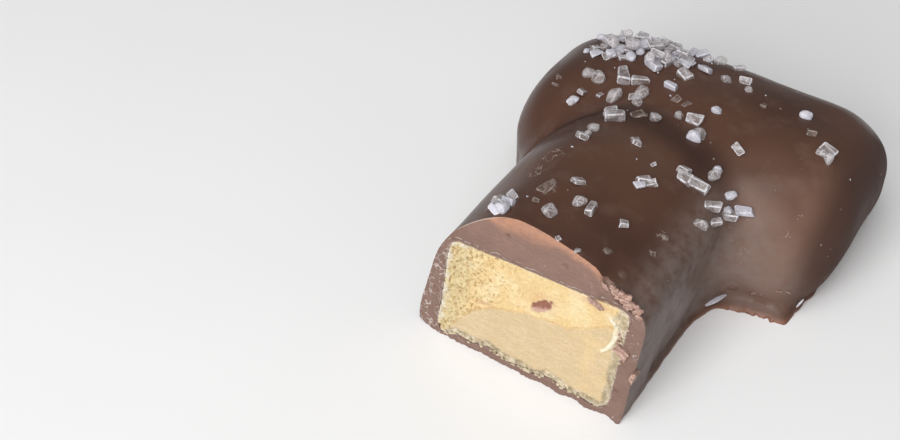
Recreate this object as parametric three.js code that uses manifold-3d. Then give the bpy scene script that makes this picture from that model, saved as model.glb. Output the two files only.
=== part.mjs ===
// One half of a chocolate bar, cut straight across. The bar is T-shaped: a short stem, which the
// knife went through, and a crossbar with two round lobes at its far end. A coat of milk chocolate
// surrounds an airy honeycomb centre, and coarse salt is stuck to the top.
//
// Millimetres, +Z up. While it is shaped, X runs across the stem, Y runs from the foot of the cut
// to the far side of the crossbar, and Z is the height above the flat base.

import * as THREE from 'three';
import { mergeVertices } from 'three/addons/utils/BufferGeometryUtils.js';
import Module from 'manifold-3d';

// Stem
const STEM_LEFT = -16.75;           // widest line of the left side
const STEM_RIGHT = 15.2;
const STEM_LEAN = 0.2;              // the left side curves in to this slope
const STEM_WIDEST_HEIGHT = 3;
const STEM_TUCK = 0.8;              // both sides pull in below their widest line
const STEM_NOSE = 36.5;             // the stem's round nose ends inside the crossbar
const STEM_NOSE_RADIUS = 13.5;
const STEM_TOP = 21.6;
const STEM_RIDGE = -3;              // the highest line lies left of the middle
const STEM_FALL_LEFT = 5;           // how far the top falls from the ridge to each shoulder
const STEM_FALL_RIGHT = 4.5;
const STEM_SHOULDER_LEFT = -12.8;
const STEM_SHOULDER_RIGHT = 13.5;
const STEM_SHOULDER_RADIUS = 2.1;
const STEM_DIP = 4;                 // the ridge dips into the valley before the crossbar
const STEM_DIP_LENGTH = 16;

// Crossbar
const BAR = { left: -22.3, right: 29, near: 25.6, far: 60.4 };
const BAR_CORNERS = { nearLeft: 13.2, nearRight: 5, farLeft: 11.9, farRight: 9.1 };
const BAR_CORNER_OPEN = 15;         // the near right corner opens to this radius, at this height
const BAR_CORNER_HEIGHT = 14;
const BAR_TURN = 2;                 // degrees that the crossbar sits askew
const BAR_TOP = 20;
const BAR_FALL_ENDS = 1.6;
const BAR_FALL_SIDES = 4.6;
const BAR_SHOULDER_RADIUS = 7.2;
const BAR_DRAFT = 0.7;              // the sides pull in towards the top
const BAR_TUCK = 2.5;               // the right lobe pulls in towards its base
const BAR_WIDEST_HEIGHT = 8;
const BAR_TUCK_REACH = 12;

// How the coat flows together, puddles at the base and undulates
const VALLEY_BLEND = 5;
const PUDDLE_BLEND = 5;             // wider at the base, where the coat ran together
const PUDDLE_HEIGHT = 6;
const FOOT_REACH = 0.7;
const FOOT_HEIGHT = 2.6;
const FOOT_END = 27;                // right of this line the foot thins out to nothing
const FOOT_FADE = 5;
const UNDULATION = 0.16;
const UNDULATION_LENGTH = 19;

// Honeycomb centre, which runs through the stem and the crossbar
const CENTRE_STEM = { left: -13.6, right: 12.9, near: -30, far: 40 };
const CENTRE_BAR = { left: -18.6, right: 25.6, near: 29, far: 56.4 };
const CENTRE_BAR_CORNER = 9;
const CENTRE_BOTTOM = 1;
const CENTRE_STEM_TOP = 15.2;
const CENTRE_TOP_SLOPE = 0.045;     // its top rises to the right
const CENTRE_BAR_TOP = 14;
const CENTRE_EDGE_RADIUS = 1.3;
const CENTRE_BAR_EDGE_RADIUS = 3;
const THINNEST_COAT = 1.15;
const CENTRE_GAP = 0.3;

// The cut leans back. Its lower part is smeared flat and its upper part is torn.
const CUT_LEAN = 14;                // degrees
const SMEAR_HEIGHT = 8.8;           // height of the smeared part at the middle of the cut
const SMEAR_SLOPE = 0.33;
const SMEAR_EDGE = 1.2;
const TORN_DEPTH = 0.75;
const TORN_PITCH = 3.1;
const TORN_STEP = 1.2;

// Salt: drifts of crystals, each with its middle, its spread to both sides, count and crystal size.
// In a pile some crystals lie on others, and a sunk crystal's middle is below the coat's face. A slim
// one is a block with a turn of its own, in degrees.
const SALT_DRIFTS = [
  { place: 'pile on the far edge', at: [-8.6, 49.6], spread: [6.9, 4], count: 38, size: 2, piled: true },
  { place: 'far edge, right of the pile', at: [1, 53.6], spread: [4.4, 0.8], count: 5, size: 2 },
  { place: 'left of the pile', at: [-15, 45.2], spread: [1.7, 1.7], count: 4, size: 1.8 },
  { place: 'left lobe, pair', at: [-12.7, 39.4], spread: [1.3, 0.6], count: 2, size: 2.2 },
  { place: 'left lobe, strays', at: [-11.7, 36], spread: [2.7, 0.6], count: 2, size: 1.6 },
  { place: 'left lobe, near', at: [-12.7, 33.5], spread: [0.6, 0.3], count: 2, size: 2 },
  { place: 'left lobe, sunk', at: [-17.1, 36.2], spread: [0.2, 2.4], count: 2, size: 1.5, sunk: true },
  { place: 'before the pile, upright', at: [-8.7, 41.1], spread: [0, 0], count: 1, size: 2.6 },
  { place: 'long grain', at: [-5.8, 41.2], spread: [0, 0], count: 1, size: 3.8, slim: 32 },
  { place: 'big grain before the pile', at: [-6, 45.5], spread: [0, 0], count: 1, size: 3.1 },
  { place: 'crossbar, below the big grain', at: [-1.2, 45.9], spread: [0, 0], count: 1, size: 2.1 },
  { place: 'big grain on the middle', at: [0.5, 49.4], spread: [0, 0], count: 1, size: 2.9 },
  { place: 'crossbar, frosted single', at: [-1.6, 42.5], spread: [0, 0], count: 1, size: 2.1 },
  { place: 'crossbar, far right', at: [5.8, 49.4], spread: [2.6, 2.8], count: 3, size: 1.8 },
  { place: 'valley, left', at: [-7.4, 36.5], spread: [0, 0], count: 1, size: 2.5 },
  { place: 'valley, middle', at: [-4.4, 37.6], spread: [1.2, 1.2], count: 3, size: 2.2 },
  { place: 'stem nose', at: [-5.4, 31.8], spread: [0.8, 1.3], count: 3, size: 2.5 },
  { place: 'valley, pair', at: [-2.6, 34.4], spread: [1.1, 0.5], count: 2, size: 1.8, sunk: true },
  { place: 'valley, right', at: [2.4, 37.2], spread: [0, 0], count: 1, size: 2.3 },
  { place: 'crossbar, sunk', at: [1.5, 39.7], spread: [1.6, 0.9], count: 2, size: 1.5, sunk: true },
  { place: 'crossbar, small', at: [6.1, 41], spread: [0, 0], count: 1, size: 1.4 },
  { place: 'crossbar, right sunk', at: [11.1, 46.1], spread: [0, 0], count: 1, size: 1.8, sunk: true },
  { place: 'right lobe, far', at: [16.7, 47.7], spread: [0, 0], count: 1, size: 2.3 },
  { place: 'right lobe, far flat', at: [18.8, 44.9], spread: [0, 0], count: 1, size: 1.8, sunk: true },
  { place: 'stem ridge, far', at: [-5.8, 26.1], spread: [0.5, 1.8], count: 3, size: 2 },
  { place: 'stem nose, right', at: [0.2, 28], spread: [0.3, 1.1], count: 2, size: 1.6 },
  { place: 'crossbar, centre', at: [6.2, 35], spread: [0.3, 1.5], count: 2, size: 2.2 },
  { place: 'crossbar, single', at: [11.9, 36.1], spread: [0, 0], count: 1, size: 2.9 },
  { place: 'right lobe, chunk', at: [22.2, 41.4], spread: [1.4, 0.7], count: 3, size: 2.2 },
  { place: 'stem shoulder', at: [8.9, 27.1], spread: [1.8, 1.8], count: 3, size: 2.3 },
  { place: 'above the corner', at: [11.1, 30.8], spread: [0.3, 0.9], count: 2, size: 2 },
  { place: 'corner cluster, left', at: [13.1, 25.9], spread: [0, 0], count: 1, size: 2.6 },
  { place: 'stem edge', at: [13.4, 21.9], spread: [0, 0], count: 1, size: 2.2 },
  { place: 'stem, three together', at: [4.9, 21.2], spread: [1.1, 0.9], count: 3, size: 1.9 },
  { place: 'stem, small', at: [4.2, 25.7], spread: [0, 0], count: 1, size: 1 },
  { place: 'stem, upper left', at: [-1.6, 15.6], spread: [0, 0], count: 1, size: 1.8 },
  { place: 'stem, sunk pair', at: [-4.8, 13.4], spread: [0.7, 1], count: 2, size: 1.9, sunk: true },
  { place: 'stem, left', at: [-4.6, 10.2], spread: [0, 0], count: 1, size: 1.8, sunk: true },
  { place: 'stem, middle', at: [1.4, 12.4], spread: [1.3, 0.5], count: 2, size: 2 },
  { place: 'stem, flat', at: [-2.1, 8.8], spread: [0, 0], count: 1, size: 2.3 },
  { place: 'stem, right', at: [6.2, 13.5], spread: [0, 0], count: 1, size: 2.2 },
  { place: 'stem, right sunk', at: [6.9, 8.5], spread: [0, 0], count: 1, size: 2, sunk: true },
  { place: 'stem, far right sunk', at: [10.8, 14.2], spread: [0.3, 2.6], count: 2, size: 1.3, sunk: true },
  { place: 'stem, near the cut', at: [2.4, 5.7], spread: [3.6, 0.1], count: 2, size: 0.9 },
  { place: 'beside the cut', at: [-7.9, 8], spread: [1, 2.1], count: 5, size: 2.3 },
  { place: 'valley, single', at: [-0.1, 34.8], spread: [0, 0], count: 1, size: 2 },
  { place: 'valley, far right', at: [4.4, 37.7], spread: [0, 0], count: 1, size: 2 },
  { place: 'corner cluster, middle', at: [14.8, 27.9], spread: [0.4, 0.4], count: 2, size: 2.3 },
  { place: 'corner cluster, right', at: [16.5, 29.4], spread: [0, 0], count: 1, size: 2.4 },
  { place: 'corner cluster, far', at: [14.1, 29.7], spread: [0, 0], count: 1, size: 1.8 },
  { place: 'corner cluster, near', at: [14.3, 24.5], spread: [0, 0], count: 1, size: 2.1 },
  { place: 'pile, near left', at: [-11.8, 45.4], spread: [2.2, 1.1], count: 6, size: 1.9 },
  { place: 'pile, far left', at: [-15.2, 49.6], spread: [1.4, 1.3], count: 5, size: 1.8 },
  { place: 'pile, near right', at: [-4.2, 48.3], spread: [1.9, 0.9], count: 4, size: 1.9 },
  { place: 'pile, far side', at: [-8.4, 53.3], spread: [5.2, 0.7], count: 7, size: 2.1 },
];
const CHUNK_SHARE = 0.4;            // the other crystals are blocks
const SLIM_SHARE = 0.42;            // width and thickness of a slim block, share of its length
const SALT_SIZE_SPREAD = 0.3;       // crystals differ by up to this share from their drift's size
const SALT_JITTER = 0.13;           // each corner is moved by up to this share of the size
const SALT_PROUD = 0.12;            // how far a crystal's middle stands off the coat, share of size
const SALT_SUNK = -0.12;            // the same for a sunk crystal
const PILE_LIFT = 0.35;             // the upper layer of a pile, share of size
const PILE_LAYER = 3;               // every third crystal of a pile lies on others
const GOLDEN_ANGLE = 2.39996;

// Mesh steps
const COAT_CELL = 2.1;
const CENTRE_CELL = 2.5;
const SETTLE_STEPS = 4;
const PROBE = 0.02;
const SMALLEST_DETAIL = 0.04;

// The origin is on the base, under the middle of the bar's length and width
const ORIGIN_X = 2.95;
const ORIGIN_Y = 30.53;

const MILK_CHOCOLATE = new THREE.MeshStandardMaterial({ color: 0x4d3327, roughness: 0.38, metalness: 0 });
const HONEYCOMB = new THREE.MeshStandardMaterial({ color: 0xdcb777, roughness: 0.85, metalness: 0 });

const wasm = await Module();
wasm.setup();

const degrees = Math.PI / 180;
const clamp01 = (value) => Math.min(Math.max(value, 0), 1);

// ---- Form, as signed distances: negative inside, positive outside ------------------------------

// Distance to a rectangle with a radius of its own at each corner
function roundedRectangle(x, y, box, radii) {
  const fromX = x - (box.left + box.right) / 2;
  const fromY = y - (box.near + box.far) / 2;
  const isNear = fromY < 0;
  const leftRadius = isNear ? radii.nearLeft : radii.farLeft;
  const rightRadius = isNear ? radii.nearRight : radii.farRight;
  const radius = fromX < 0 ? leftRadius : rightRadius;
  const overX = Math.abs(fromX) - (box.right - box.left) / 2 + radius;
  const overY = Math.abs(fromY) - (box.far - box.near) / 2 + radius;
  const outside = Math.hypot(Math.max(overX, 0), Math.max(overY, 0));
  return outside + Math.min(Math.max(overX, overY), 0) - radius;
}

// Where two faces meet, their edge is rounded by this radius
function roundedEdge(a, b, radius) {
  const outside = Math.hypot(Math.max(a + radius, 0), Math.max(b + radius, 0));
  return Math.min(Math.max(a, b), -radius) + outside;
}

// Two forms that flow into each other over a width
function flowTogether(a, b, width) {
  const share = clamp01(0.5 + (b - a) / (2 * width));
  return b + (a - b) * share - width * share * (1 - share);
}

function stem(x, y, z) {
  const above = Math.max(z - STEM_WIDEST_HEIGHT, 0);
  const tuck = STEM_TUCK * Math.max(1 - z / STEM_WIDEST_HEIGHT, 0) ** 2;
  const sides = {
    left: STEM_LEFT + (STEM_LEAN * above ** 2) / (above + STEM_WIDEST_HEIGHT) + tuck,
    right: STEM_RIGHT - tuck,
    near: -STEM_NOSE,
    far: STEM_NOSE,
  };
  const nose = { nearLeft: 1, nearRight: 1, farLeft: STEM_NOSE_RADIUS, farRight: STEM_NOSE_RADIUS };
  const fromRidge = x - STEM_RIDGE;
  const fall = fromRidge < 0
    ? STEM_FALL_LEFT * (fromRidge / (STEM_SHOULDER_LEFT - STEM_RIDGE)) ** 2
    : STEM_FALL_RIGHT * (fromRidge / (STEM_SHOULDER_RIGHT - STEM_RIDGE)) ** 2;
  const dip = STEM_DIP * (Math.max(y - STEM_NOSE + STEM_DIP_LENGTH, 0) / STEM_DIP_LENGTH) ** 2;
  const top = STEM_TOP - fall - dip;
  return roundedEdge(roundedRectangle(x, y, sides, nose), z - top, STEM_SHOULDER_RADIUS);
}

function crossbar(x, y, z) {
  const middleX = (BAR.left + BAR.right) / 2;
  const middleY = (BAR.near + BAR.far) / 2;
  const cos = Math.cos(BAR_TURN * degrees);
  const sin = Math.sin(BAR_TURN * degrees);
  const along = middleX + (x - middleX) * cos + (y - middleY) * sin;
  const across = middleY - (x - middleX) * sin + (y - middleY) * cos;
  const opened = clamp01(z / BAR_CORNER_HEIGHT);
  const corners = { ...BAR_CORNERS };
  corners.nearRight += (BAR_CORNER_OPEN - BAR_CORNERS.nearRight) * opened * (2 - opened);
  const onRight = clamp01((along - middleX) / BAR_TUCK_REACH);
  const above = Math.max(z - BAR_WIDEST_HEIGHT, 0) / (BAR_TOP - BAR_WIDEST_HEIGHT);
  const below = Math.max(1 - z / BAR_WIDEST_HEIGHT, 0);
  const drawnIn = BAR_DRAFT * above ** 2 + BAR_TUCK * onRight * below ** 2;
  const top = BAR_TOP
    - BAR_FALL_ENDS * ((along - middleX) / (BAR.right - middleX)) ** 2
    - BAR_FALL_SIDES * ((across - middleY) / (BAR.far - middleY)) ** 2;
  const outline = roundedRectangle(along, across, BAR, corners) + drawnIn;
  return roundedEdge(outline, z - top, BAR_SHOULDER_RADIUS);
}

// The hand-dipped surface: long, shallow waves
function undulation(x, y, z) {
  const turn = (2 * Math.PI) / UNDULATION_LENGTH;
  const long = Math.sin(x * turn + 1.1) * Math.sin(y * turn * 0.83 + 0.4);
  const short = Math.sin(y * turn * 1.7 + z * turn + 2) * Math.sin(x * turn * 1.3 - z * turn * 0.6);
  return UNDULATION * (long + 0.6 * short);
}

function coatOutside(x, y, z) {
  const blend = VALLEY_BLEND + PUDDLE_BLEND * clamp01(1 - z / PUDDLE_HEIGHT) ** 2;
  const body = flowTogether(stem(x, y, z), crossbar(x, y, z), blend) + undulation(x, y, z);
  const reach = FOOT_REACH * (1 - clamp01((x - FOOT_END) / FOOT_FADE));
  return body - reach * clamp01(1 - z / FOOT_HEIGHT) ** 2;
}

function centreOutside(x, y, z) {
  const stemCorners = { nearLeft: 2, nearRight: 2, farLeft: 2, farRight: 2 };
  const barCorners = {
    nearLeft: CENTRE_BAR_CORNER,
    nearRight: CENTRE_BAR_CORNER,
    farLeft: CENTRE_BAR_CORNER,
    farRight: CENTRE_BAR_CORNER,
  };
  const heightOf = (top) => Math.max(z - top, CENTRE_BOTTOM - z);
  const stemTop = CENTRE_STEM_TOP + x * CENTRE_TOP_SLOPE;
  const stemPlan = roundedRectangle(x, y, CENTRE_STEM, stemCorners);
  const barPlan = roundedRectangle(x, y, CENTRE_BAR, barCorners);
  const inStem = roundedEdge(stemPlan, heightOf(stemTop), CENTRE_EDGE_RADIUS);
  const inBar = roundedEdge(barPlan, heightOf(CENTRE_BAR_TOP), CENTRE_BAR_EDGE_RADIUS);
  const centre = flowTogether(inStem, inBar, 2);
  return Math.max(centre, coatOutside(x, y, z) + THINNEST_COAT);
}

// ---- From form to mesh -------------------------------------------------------------------------

function slopeAt(form, [x, y, z]) {
  return new THREE.Vector3(
    form(x + PROBE, y, z) - form(x - PROBE, y, z),
    form(x, y + PROBE, z) - form(x, y - PROBE, z),
    form(x, y, z + PROBE) - form(x, y, z - PROBE),
  ).divideScalar(2 * PROBE);
}

// Moves every vertex along the form's slope until it lies at the given distance from its face
function settle(geometry, form, distance) {
  const places = geometry.getAttribute('position');
  for (let index = 0; index < places.count; index += 1) {
    const at = new THREE.Vector3().fromBufferAttribute(places, index);
    for (let step = 0; step < SETTLE_STEPS; step += 1) {
      const slope = slopeAt(form, at.toArray());
      at.addScaledVector(slope, (distance - form(at.x, at.y, at.z)) / Math.max(slope.lengthSq(), 0.2));
    }
    places.setXYZ(index, at.x, at.y, at.z);
  }
  return geometry;
}

// A net over the form: one vertex in each cell that the face passes through, and one four-sided
// mesh round each edge of the grid that it crosses
function netOver(form, low, high, cell) {
  const counts = low.map((from, axis) => Math.ceil((high[axis] - from) / cell) + 1);
  const steps = [1, counts[0], counts[0] * counts[1]];
  const placeOf = (index, axis) => low[axis] + index * cell;
  const values = new Float64Array(counts[0] * counts[1] * counts[2]);
  const vertexOfCell = new Int32Array(values.length).fill(-1);
  const positions = [];
  const triangles = [];
  const eachPoint = (visit) => {
    for (let k = 0; k < counts[2]; k += 1) {
      for (let j = 0; j < counts[1]; j += 1) {
        for (let i = 0; i < counts[0]; i += 1) {
          visit([i, j, k], i + j * steps[1] + k * steps[2]);
        }
      }
    }
  };
  eachPoint(([i, j, k], at) => {
    values[at] = form(placeOf(i, 0), placeOf(j, 1), placeOf(k, 2));
  });
  eachPoint((point, at) => {
    if (point.some((index, axis) => index === counts[axis] - 1)) {
      return;
    }
    const sum = [0, 0, 0];
    let crossings = 0;
    for (let axis = 0; axis < 3; axis += 1) {
      const [u, v] = [(axis + 1) % 3, (axis + 2) % 3];
      for (const [du, dv] of [[0, 0], [1, 0], [0, 1], [1, 1]]) {
        const start = at + du * steps[u] + dv * steps[v];
        const from = values[start];
        const to = values[start + steps[axis]];
        if (from < 0 !== to < 0) {
          sum[axis] += from / (from - to);
          sum[u] += du;
          sum[v] += dv;
          crossings += 1;
        }
      }
    }
    if (crossings > 0) {
      vertexOfCell[at] = positions.length / 3;
      positions.push(...point.map((index, axis) => placeOf(index + sum[axis] / crossings, axis)));
    }
  });
  eachPoint((point, at) => {
    for (let axis = 0; axis < 3; axis += 1) {
      const [u, v] = [(axis + 1) % 3, (axis + 2) % 3];
      if (point[axis] === counts[axis] - 1 || point[u] === 0 || point[v] === 0) {
        continue;
      }
      const startsInside = values[at] < 0;
      if (startsInside === values[at + steps[axis]] < 0) {
        continue;
      }
      const ring = [at, at - steps[u], at - steps[u] - steps[v], at - steps[v]].map((c) => vertexOfCell[c]);
      const [a, b, c, d] = startsInside ? ring : ring.reverse();
      triangles.push(a, b, c, a, c, d);
    }
  });
  const geometry = new THREE.BufferGeometry();
  geometry.setAttribute('position', new THREE.Float32BufferAttribute(positions, 3));
  geometry.setIndex(triangles);
  return geometry;
}

function toSolid(geometry) {
  const bare = geometry.clone();
  bare.deleteAttribute('normal');
  bare.deleteAttribute('uv');
  const merged = mergeVertices(bare, 1e-4);
  return new wasm.Manifold(new wasm.Mesh({
    numProp: 3,
    vertProperties: new Float32Array(merged.getAttribute('position').array),
    triVerts: new Uint32Array(merged.getIndex().array),
  }));
}

function toGeometry(solid) {
  const mesh = solid.getMesh();
  const geometry = new THREE.BufferGeometry();
  geometry.setAttribute('position', new THREE.BufferAttribute(mesh.vertProperties, 3));
  geometry.setIndex(new THREE.BufferAttribute(mesh.triVerts, 1));
  geometry.computeVertexNormals();
  return geometry;
}

// ---- The base and the knife --------------------------------------------------------------------

const SPARE = 6;                    // how far the uncut forms reach past the base and the cut
const TOOL_SIZE = 160;

// Everything below the base
function floorBlock() {
  return new THREE.BoxGeometry(TOOL_SIZE, TOOL_SIZE, TOOL_SIZE).translate(0, 0, -TOOL_SIZE / 2);
}

// Everything in front of the cut, as left by a clean blade
function cleanCut() {
  return new THREE.BoxGeometry(TOOL_SIZE, TOOL_SIZE, TOOL_SIZE)
    .translate(0, -TOOL_SIZE / 2, 0)
    .rotateX(-CUT_LEAN * degrees);
}

// How deep the honeycomb is torn out behind the cut, at a place on its face
function tornDepth(x, height) {
  const aboveSmear = clamp01((height - SMEAR_HEIGHT - x * SMEAR_SLOPE) / SMEAR_EDGE + 0.5);
  const turn = (2 * Math.PI) / TORN_PITCH;
  const crags = Math.sin(x * turn + 2 * Math.sin(height * turn * 0.6))
    * Math.sin(height * turn * 1.2 + Math.sin(x * turn * 0.7));
  return TORN_DEPTH * aboveSmear * (0.55 + 0.45 * crags);
}

// Everything in front of the honeycomb's face, with its torn upper part
function tornCut() {
  const size = { x: 34, y: SPARE * 4, z: 24 };
  const steps = { x: Math.round(size.x / TORN_STEP), z: Math.round(size.z / TORN_STEP) };
  const block = new THREE.BoxGeometry(size.x, size.y, size.z, steps.x, 1, steps.z);
  block.translate(0, -size.y / 2, size.z / 2 - 2);
  const places = block.getAttribute('position');
  for (let index = 0; index < places.count; index += 1) {
    if (places.getY(index) > -PROBE) {
      places.setY(index, tornDepth(places.getX(index), places.getZ(index)));
    }
  }
  return block.rotateX(-CUT_LEAN * degrees);
}

// ---- Salt --------------------------------------------------------------------------------------

// Numbers from 0 to 1 that are the same each time, from a seed
function drawsFrom(seed) {
  let state = (seed * 7919 + 104729) % 4294967296;
  return () => {
    state = (state * 1664525 + 1013904223) % 4294967296;
    return state / 4294967296;
  };
}

// The point on the coat straight above a place
function topOfCoat(x, y) {
  let [low, high] = [STEM_TOP / 4, STEM_TOP + SPARE];
  while (high - low > PROBE) {
    const middle = (low + high) / 2;
    if (coatOutside(x, y, middle) < 0) {
      low = middle;
    } else {
      high = middle;
    }
  }
  return new THREE.Vector3(x, y, low);
}

// A chunk or a block of salt, with uneven corners. A slim one is a long block, turned as given.
function crystal(size, draw, slimTurn) {
  const isSlim = slimTurn !== undefined;
  const isChunk = draw() < CHUNK_SHARE && !isSlim;
  const shape = isChunk
    ? new THREE.IcosahedronGeometry(0.5)
    : new THREE.BoxGeometry(0.95, 0.7, 0.6);
  shape.deleteAttribute('normal');
  shape.deleteAttribute('uv');
  const uneven = mergeVertices(shape, 1e-4);
  const places = uneven.getAttribute('position');
  for (let index = 0; index < places.count; index += 1) {
    const moved = [places.getX(index), places.getY(index), places.getZ(index)]
      .map((value) => value + (draw() * 2 - 1) * SALT_JITTER);
    places.setXYZ(index, ...moved);
  }
  if (isSlim) {
    return uneven
      .scale(size, size * SLIM_SHARE / 0.7, size * SLIM_SHARE / 0.6)
      .rotateZ(slimTurn * degrees);
  }
  return uneven
    .scale(size, size * (0.75 + 0.25 * draw()), size * (0.6 + 0.3 * draw()))
    .rotateZ(draw() * 2 * Math.PI)
    .rotateX((draw() - 0.5) * 1.6);
}

function saltCrystals() {
  const crystals = [];
  SALT_DRIFTS.forEach((drift, driftIndex) => {
    for (let index = 0; index < drift.count; index += 1) {
      const draw = drawsFrom(driftIndex * 100 + index);
      const angle = index * GOLDEN_ANGLE + driftIndex + draw() * 0.8;
      const reach = Math.sqrt((index + 0.5) / drift.count);
      const size = drift.size * (1 + (draw() * 2 - 1) * SALT_SIZE_SPREAD);
      const place = topOfCoat(
        drift.at[0] + drift.spread[0] * reach * Math.cos(angle),
        drift.at[1] + drift.spread[1] * reach * Math.sin(angle),
      );
      const outward = slopeAt(coatOutside, place.toArray()).normalize();
      place.addScaledVector(outward, size * (drift.sunk ? SALT_SUNK : SALT_PROUD));
      if (drift.piled && index % PILE_LAYER === 0) {
        place.z += size * PILE_LIFT;
      }
      crystals.push(crystal(size, draw, drift.slim).translate(place.x, place.y, place.z));
    }
  });
  return crystals;
}

// ---- The two pieces ----------------------------------------------------------------------------

const LOW = [BAR.left - 5, -SPARE, -SPARE];
const HIGH = [BAR.right + 5, BAR.far + 5, STEM_TOP + 4];

// A form that ends flat, a little in front of the cut and below the base, so that its mesh closes
const endedBeyondCut = (form) => (x, y, z) => (
  Math.max(form(x, y, z), -SPARE / 2 - y, -SPARE / 2 - z)
);

// The closed solid of a form, with its face at the given distance from the form's own
function solidOf(form, cell, distance = 0) {
  const closed = endedBeyondCut(form);
  return toSolid(settle(netOver(closed, LOW, HIGH, cell), closed, distance));
}

// The largest body of a solid: a hollow sealed between crystals is filled, a loose scrap dropped
function mainBody(solid) {
  return solid.decompose().reduce((main, body) => (body.volume() > main.volume() ? body : main));
}

function makeCoating() {
  const shell = solidOf(coatOutside, COAT_CELL).subtract(solidOf(centreOutside, CENTRE_CELL));
  const trimmed = shell.subtract(toSolid(floorBlock())).subtract(toSolid(cleanCut()));
  const salted = saltCrystals().reduce((coat, grain) => coat.add(toSolid(grain)), trimmed);
  return mainBody(salted.simplify(SMALLEST_DETAIL));
}

function makeCentre() {
  return solidOf(centreOutside, CENTRE_CELL, -CENTRE_GAP).subtract(toSolid(tornCut()));
}

function addPiece(parent, name, solid, material) {
  const mesh = new THREE.Mesh(toGeometry(solid), material);
  mesh.name = name;
  parent.add(mesh);
}

const bar = new THREE.Group();
bar.position.set(-ORIGIN_X, -ORIGIN_Y, 0);
addPiece(bar, 'coating', makeCoating(), MILK_CHOCOLATE);
addPiece(bar, 'filling', makeCentre(), HONEYCOMB);

export default bar;
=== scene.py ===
import math

import bmesh
import bpy
import numpy as np
from mathutils import Matrix, Vector, noise


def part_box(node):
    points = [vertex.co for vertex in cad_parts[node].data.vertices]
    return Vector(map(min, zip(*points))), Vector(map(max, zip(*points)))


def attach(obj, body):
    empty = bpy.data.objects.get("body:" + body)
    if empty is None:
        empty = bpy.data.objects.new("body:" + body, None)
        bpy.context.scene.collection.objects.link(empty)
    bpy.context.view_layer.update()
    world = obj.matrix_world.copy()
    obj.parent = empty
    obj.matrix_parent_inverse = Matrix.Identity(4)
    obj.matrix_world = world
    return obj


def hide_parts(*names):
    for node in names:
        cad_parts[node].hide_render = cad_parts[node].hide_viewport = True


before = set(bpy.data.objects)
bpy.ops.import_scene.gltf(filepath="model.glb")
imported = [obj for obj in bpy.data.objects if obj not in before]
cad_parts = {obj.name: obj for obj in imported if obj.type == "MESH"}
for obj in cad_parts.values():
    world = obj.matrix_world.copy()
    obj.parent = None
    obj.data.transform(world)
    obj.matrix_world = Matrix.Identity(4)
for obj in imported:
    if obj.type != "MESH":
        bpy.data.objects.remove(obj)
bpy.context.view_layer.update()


# ---- Coat --------------------------------------------------------------------------------------
# A shell of milk chocolate that the honeycomb centre was dipped in. It set smooth and satin, spread
# into a thin foot at the base, and was cut across the stem with a knife, which left a paler ring.
# It is shaped in mm, X across the stem, Y from the foot of the cut to the far side, Z up.

COAT_LOW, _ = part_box("coating")
MM = 0.001
ORIGIN = Vector((2.95, -COAT_LOW.y / MM, 0))    # the frame's origin, in the shaping place

STEM_LEFT = -16.75
STEM_RIGHT = 15.2
STEM_LEAN = 0.2
STEM_WIDEST_HEIGHT = 3
STEM_TUCK = 0.8
STEM_NOSE = 36.5
STEM_NOSE_RADIUS = 13.5
STEM_TOP = 21.6
STEM_RIDGE = -3
STEM_FALL_LEFT = 5
STEM_FALL_RIGHT = 4.5
STEM_SHOULDER_LEFT = -12.8
STEM_SHOULDER_RIGHT = 13.5
STEM_SHOULDER_RADIUS = 2.1
STEM_DIP = 4
STEM_DIP_LENGTH = 16

BAR_LEFT, BAR_RIGHT, BAR_NEAR, BAR_FAR = -22.3, 29, 25.6, 60.4
BAR_NEAR_LEFT, BAR_NEAR_RIGHT, BAR_FAR_LEFT, BAR_FAR_RIGHT = 13.2, 5, 11.9, 9.1
BAR_CORNER_OPEN = 15
BAR_CORNER_HEIGHT = 14
BAR_TURN = math.radians(2)
BAR_TOP = 20
BAR_FALL_ENDS = 1.6
BAR_FALL_SIDES = 4.6
BAR_SHOULDER_RADIUS = 7.2
BAR_DRAFT = 0.7
BAR_TUCK = 2.5
BAR_WIDEST_HEIGHT = 8
BAR_TUCK_REACH = 12

VALLEY_BLEND = 5
PUDDLE_BLEND = 5
PUDDLE_HEIGHT = 6
FOOT_REACH = 0.7
FOOT_HEIGHT = 2.6
FOOT_END = 27
FOOT_FADE = 5
UNDULATION = 0.16
UNDULATION_SHORT = 0.6      # how high the short waves are, in parts of the long ones
UNDULATION_LENGTH = 19

CUT_LEAN = math.radians(14)
SPARE = 6


def rounded_rectangle(x, y, sides, radii):
    """Distance to a rectangle (left, right, near, far) with a radius of its own at each corner."""
    left, right, near, far = sides
    from_x = x - (left + right) / 2
    from_y = y - (near + far) / 2
    near_radius = np.where(from_x < 0, radii[0], radii[1])
    far_radius = np.where(from_x < 0, radii[2], radii[3])
    radius = np.where(from_y < 0, near_radius, far_radius)
    over_x = np.abs(from_x) - (right - left) / 2 + radius
    over_y = np.abs(from_y) - (far - near) / 2 + radius
    outside = np.hypot(np.maximum(over_x, 0), np.maximum(over_y, 0))
    return outside + np.minimum(np.maximum(over_x, over_y), 0) - radius


def rounded_edge(a, b, radius):
    """Where both forms meet, with their common edge rounded."""
    outside = np.hypot(np.maximum(a + radius, 0), np.maximum(b + radius, 0))
    return np.minimum(np.maximum(a, b), -radius) + outside


def flow_together(a, b, width):
    """Both forms as one, with the valley between them filled softly."""
    share = np.clip(0.5 + (b - a) / (2 * width), 0, 1)
    return b + (a - b) * share - width * share * (1 - share)


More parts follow.
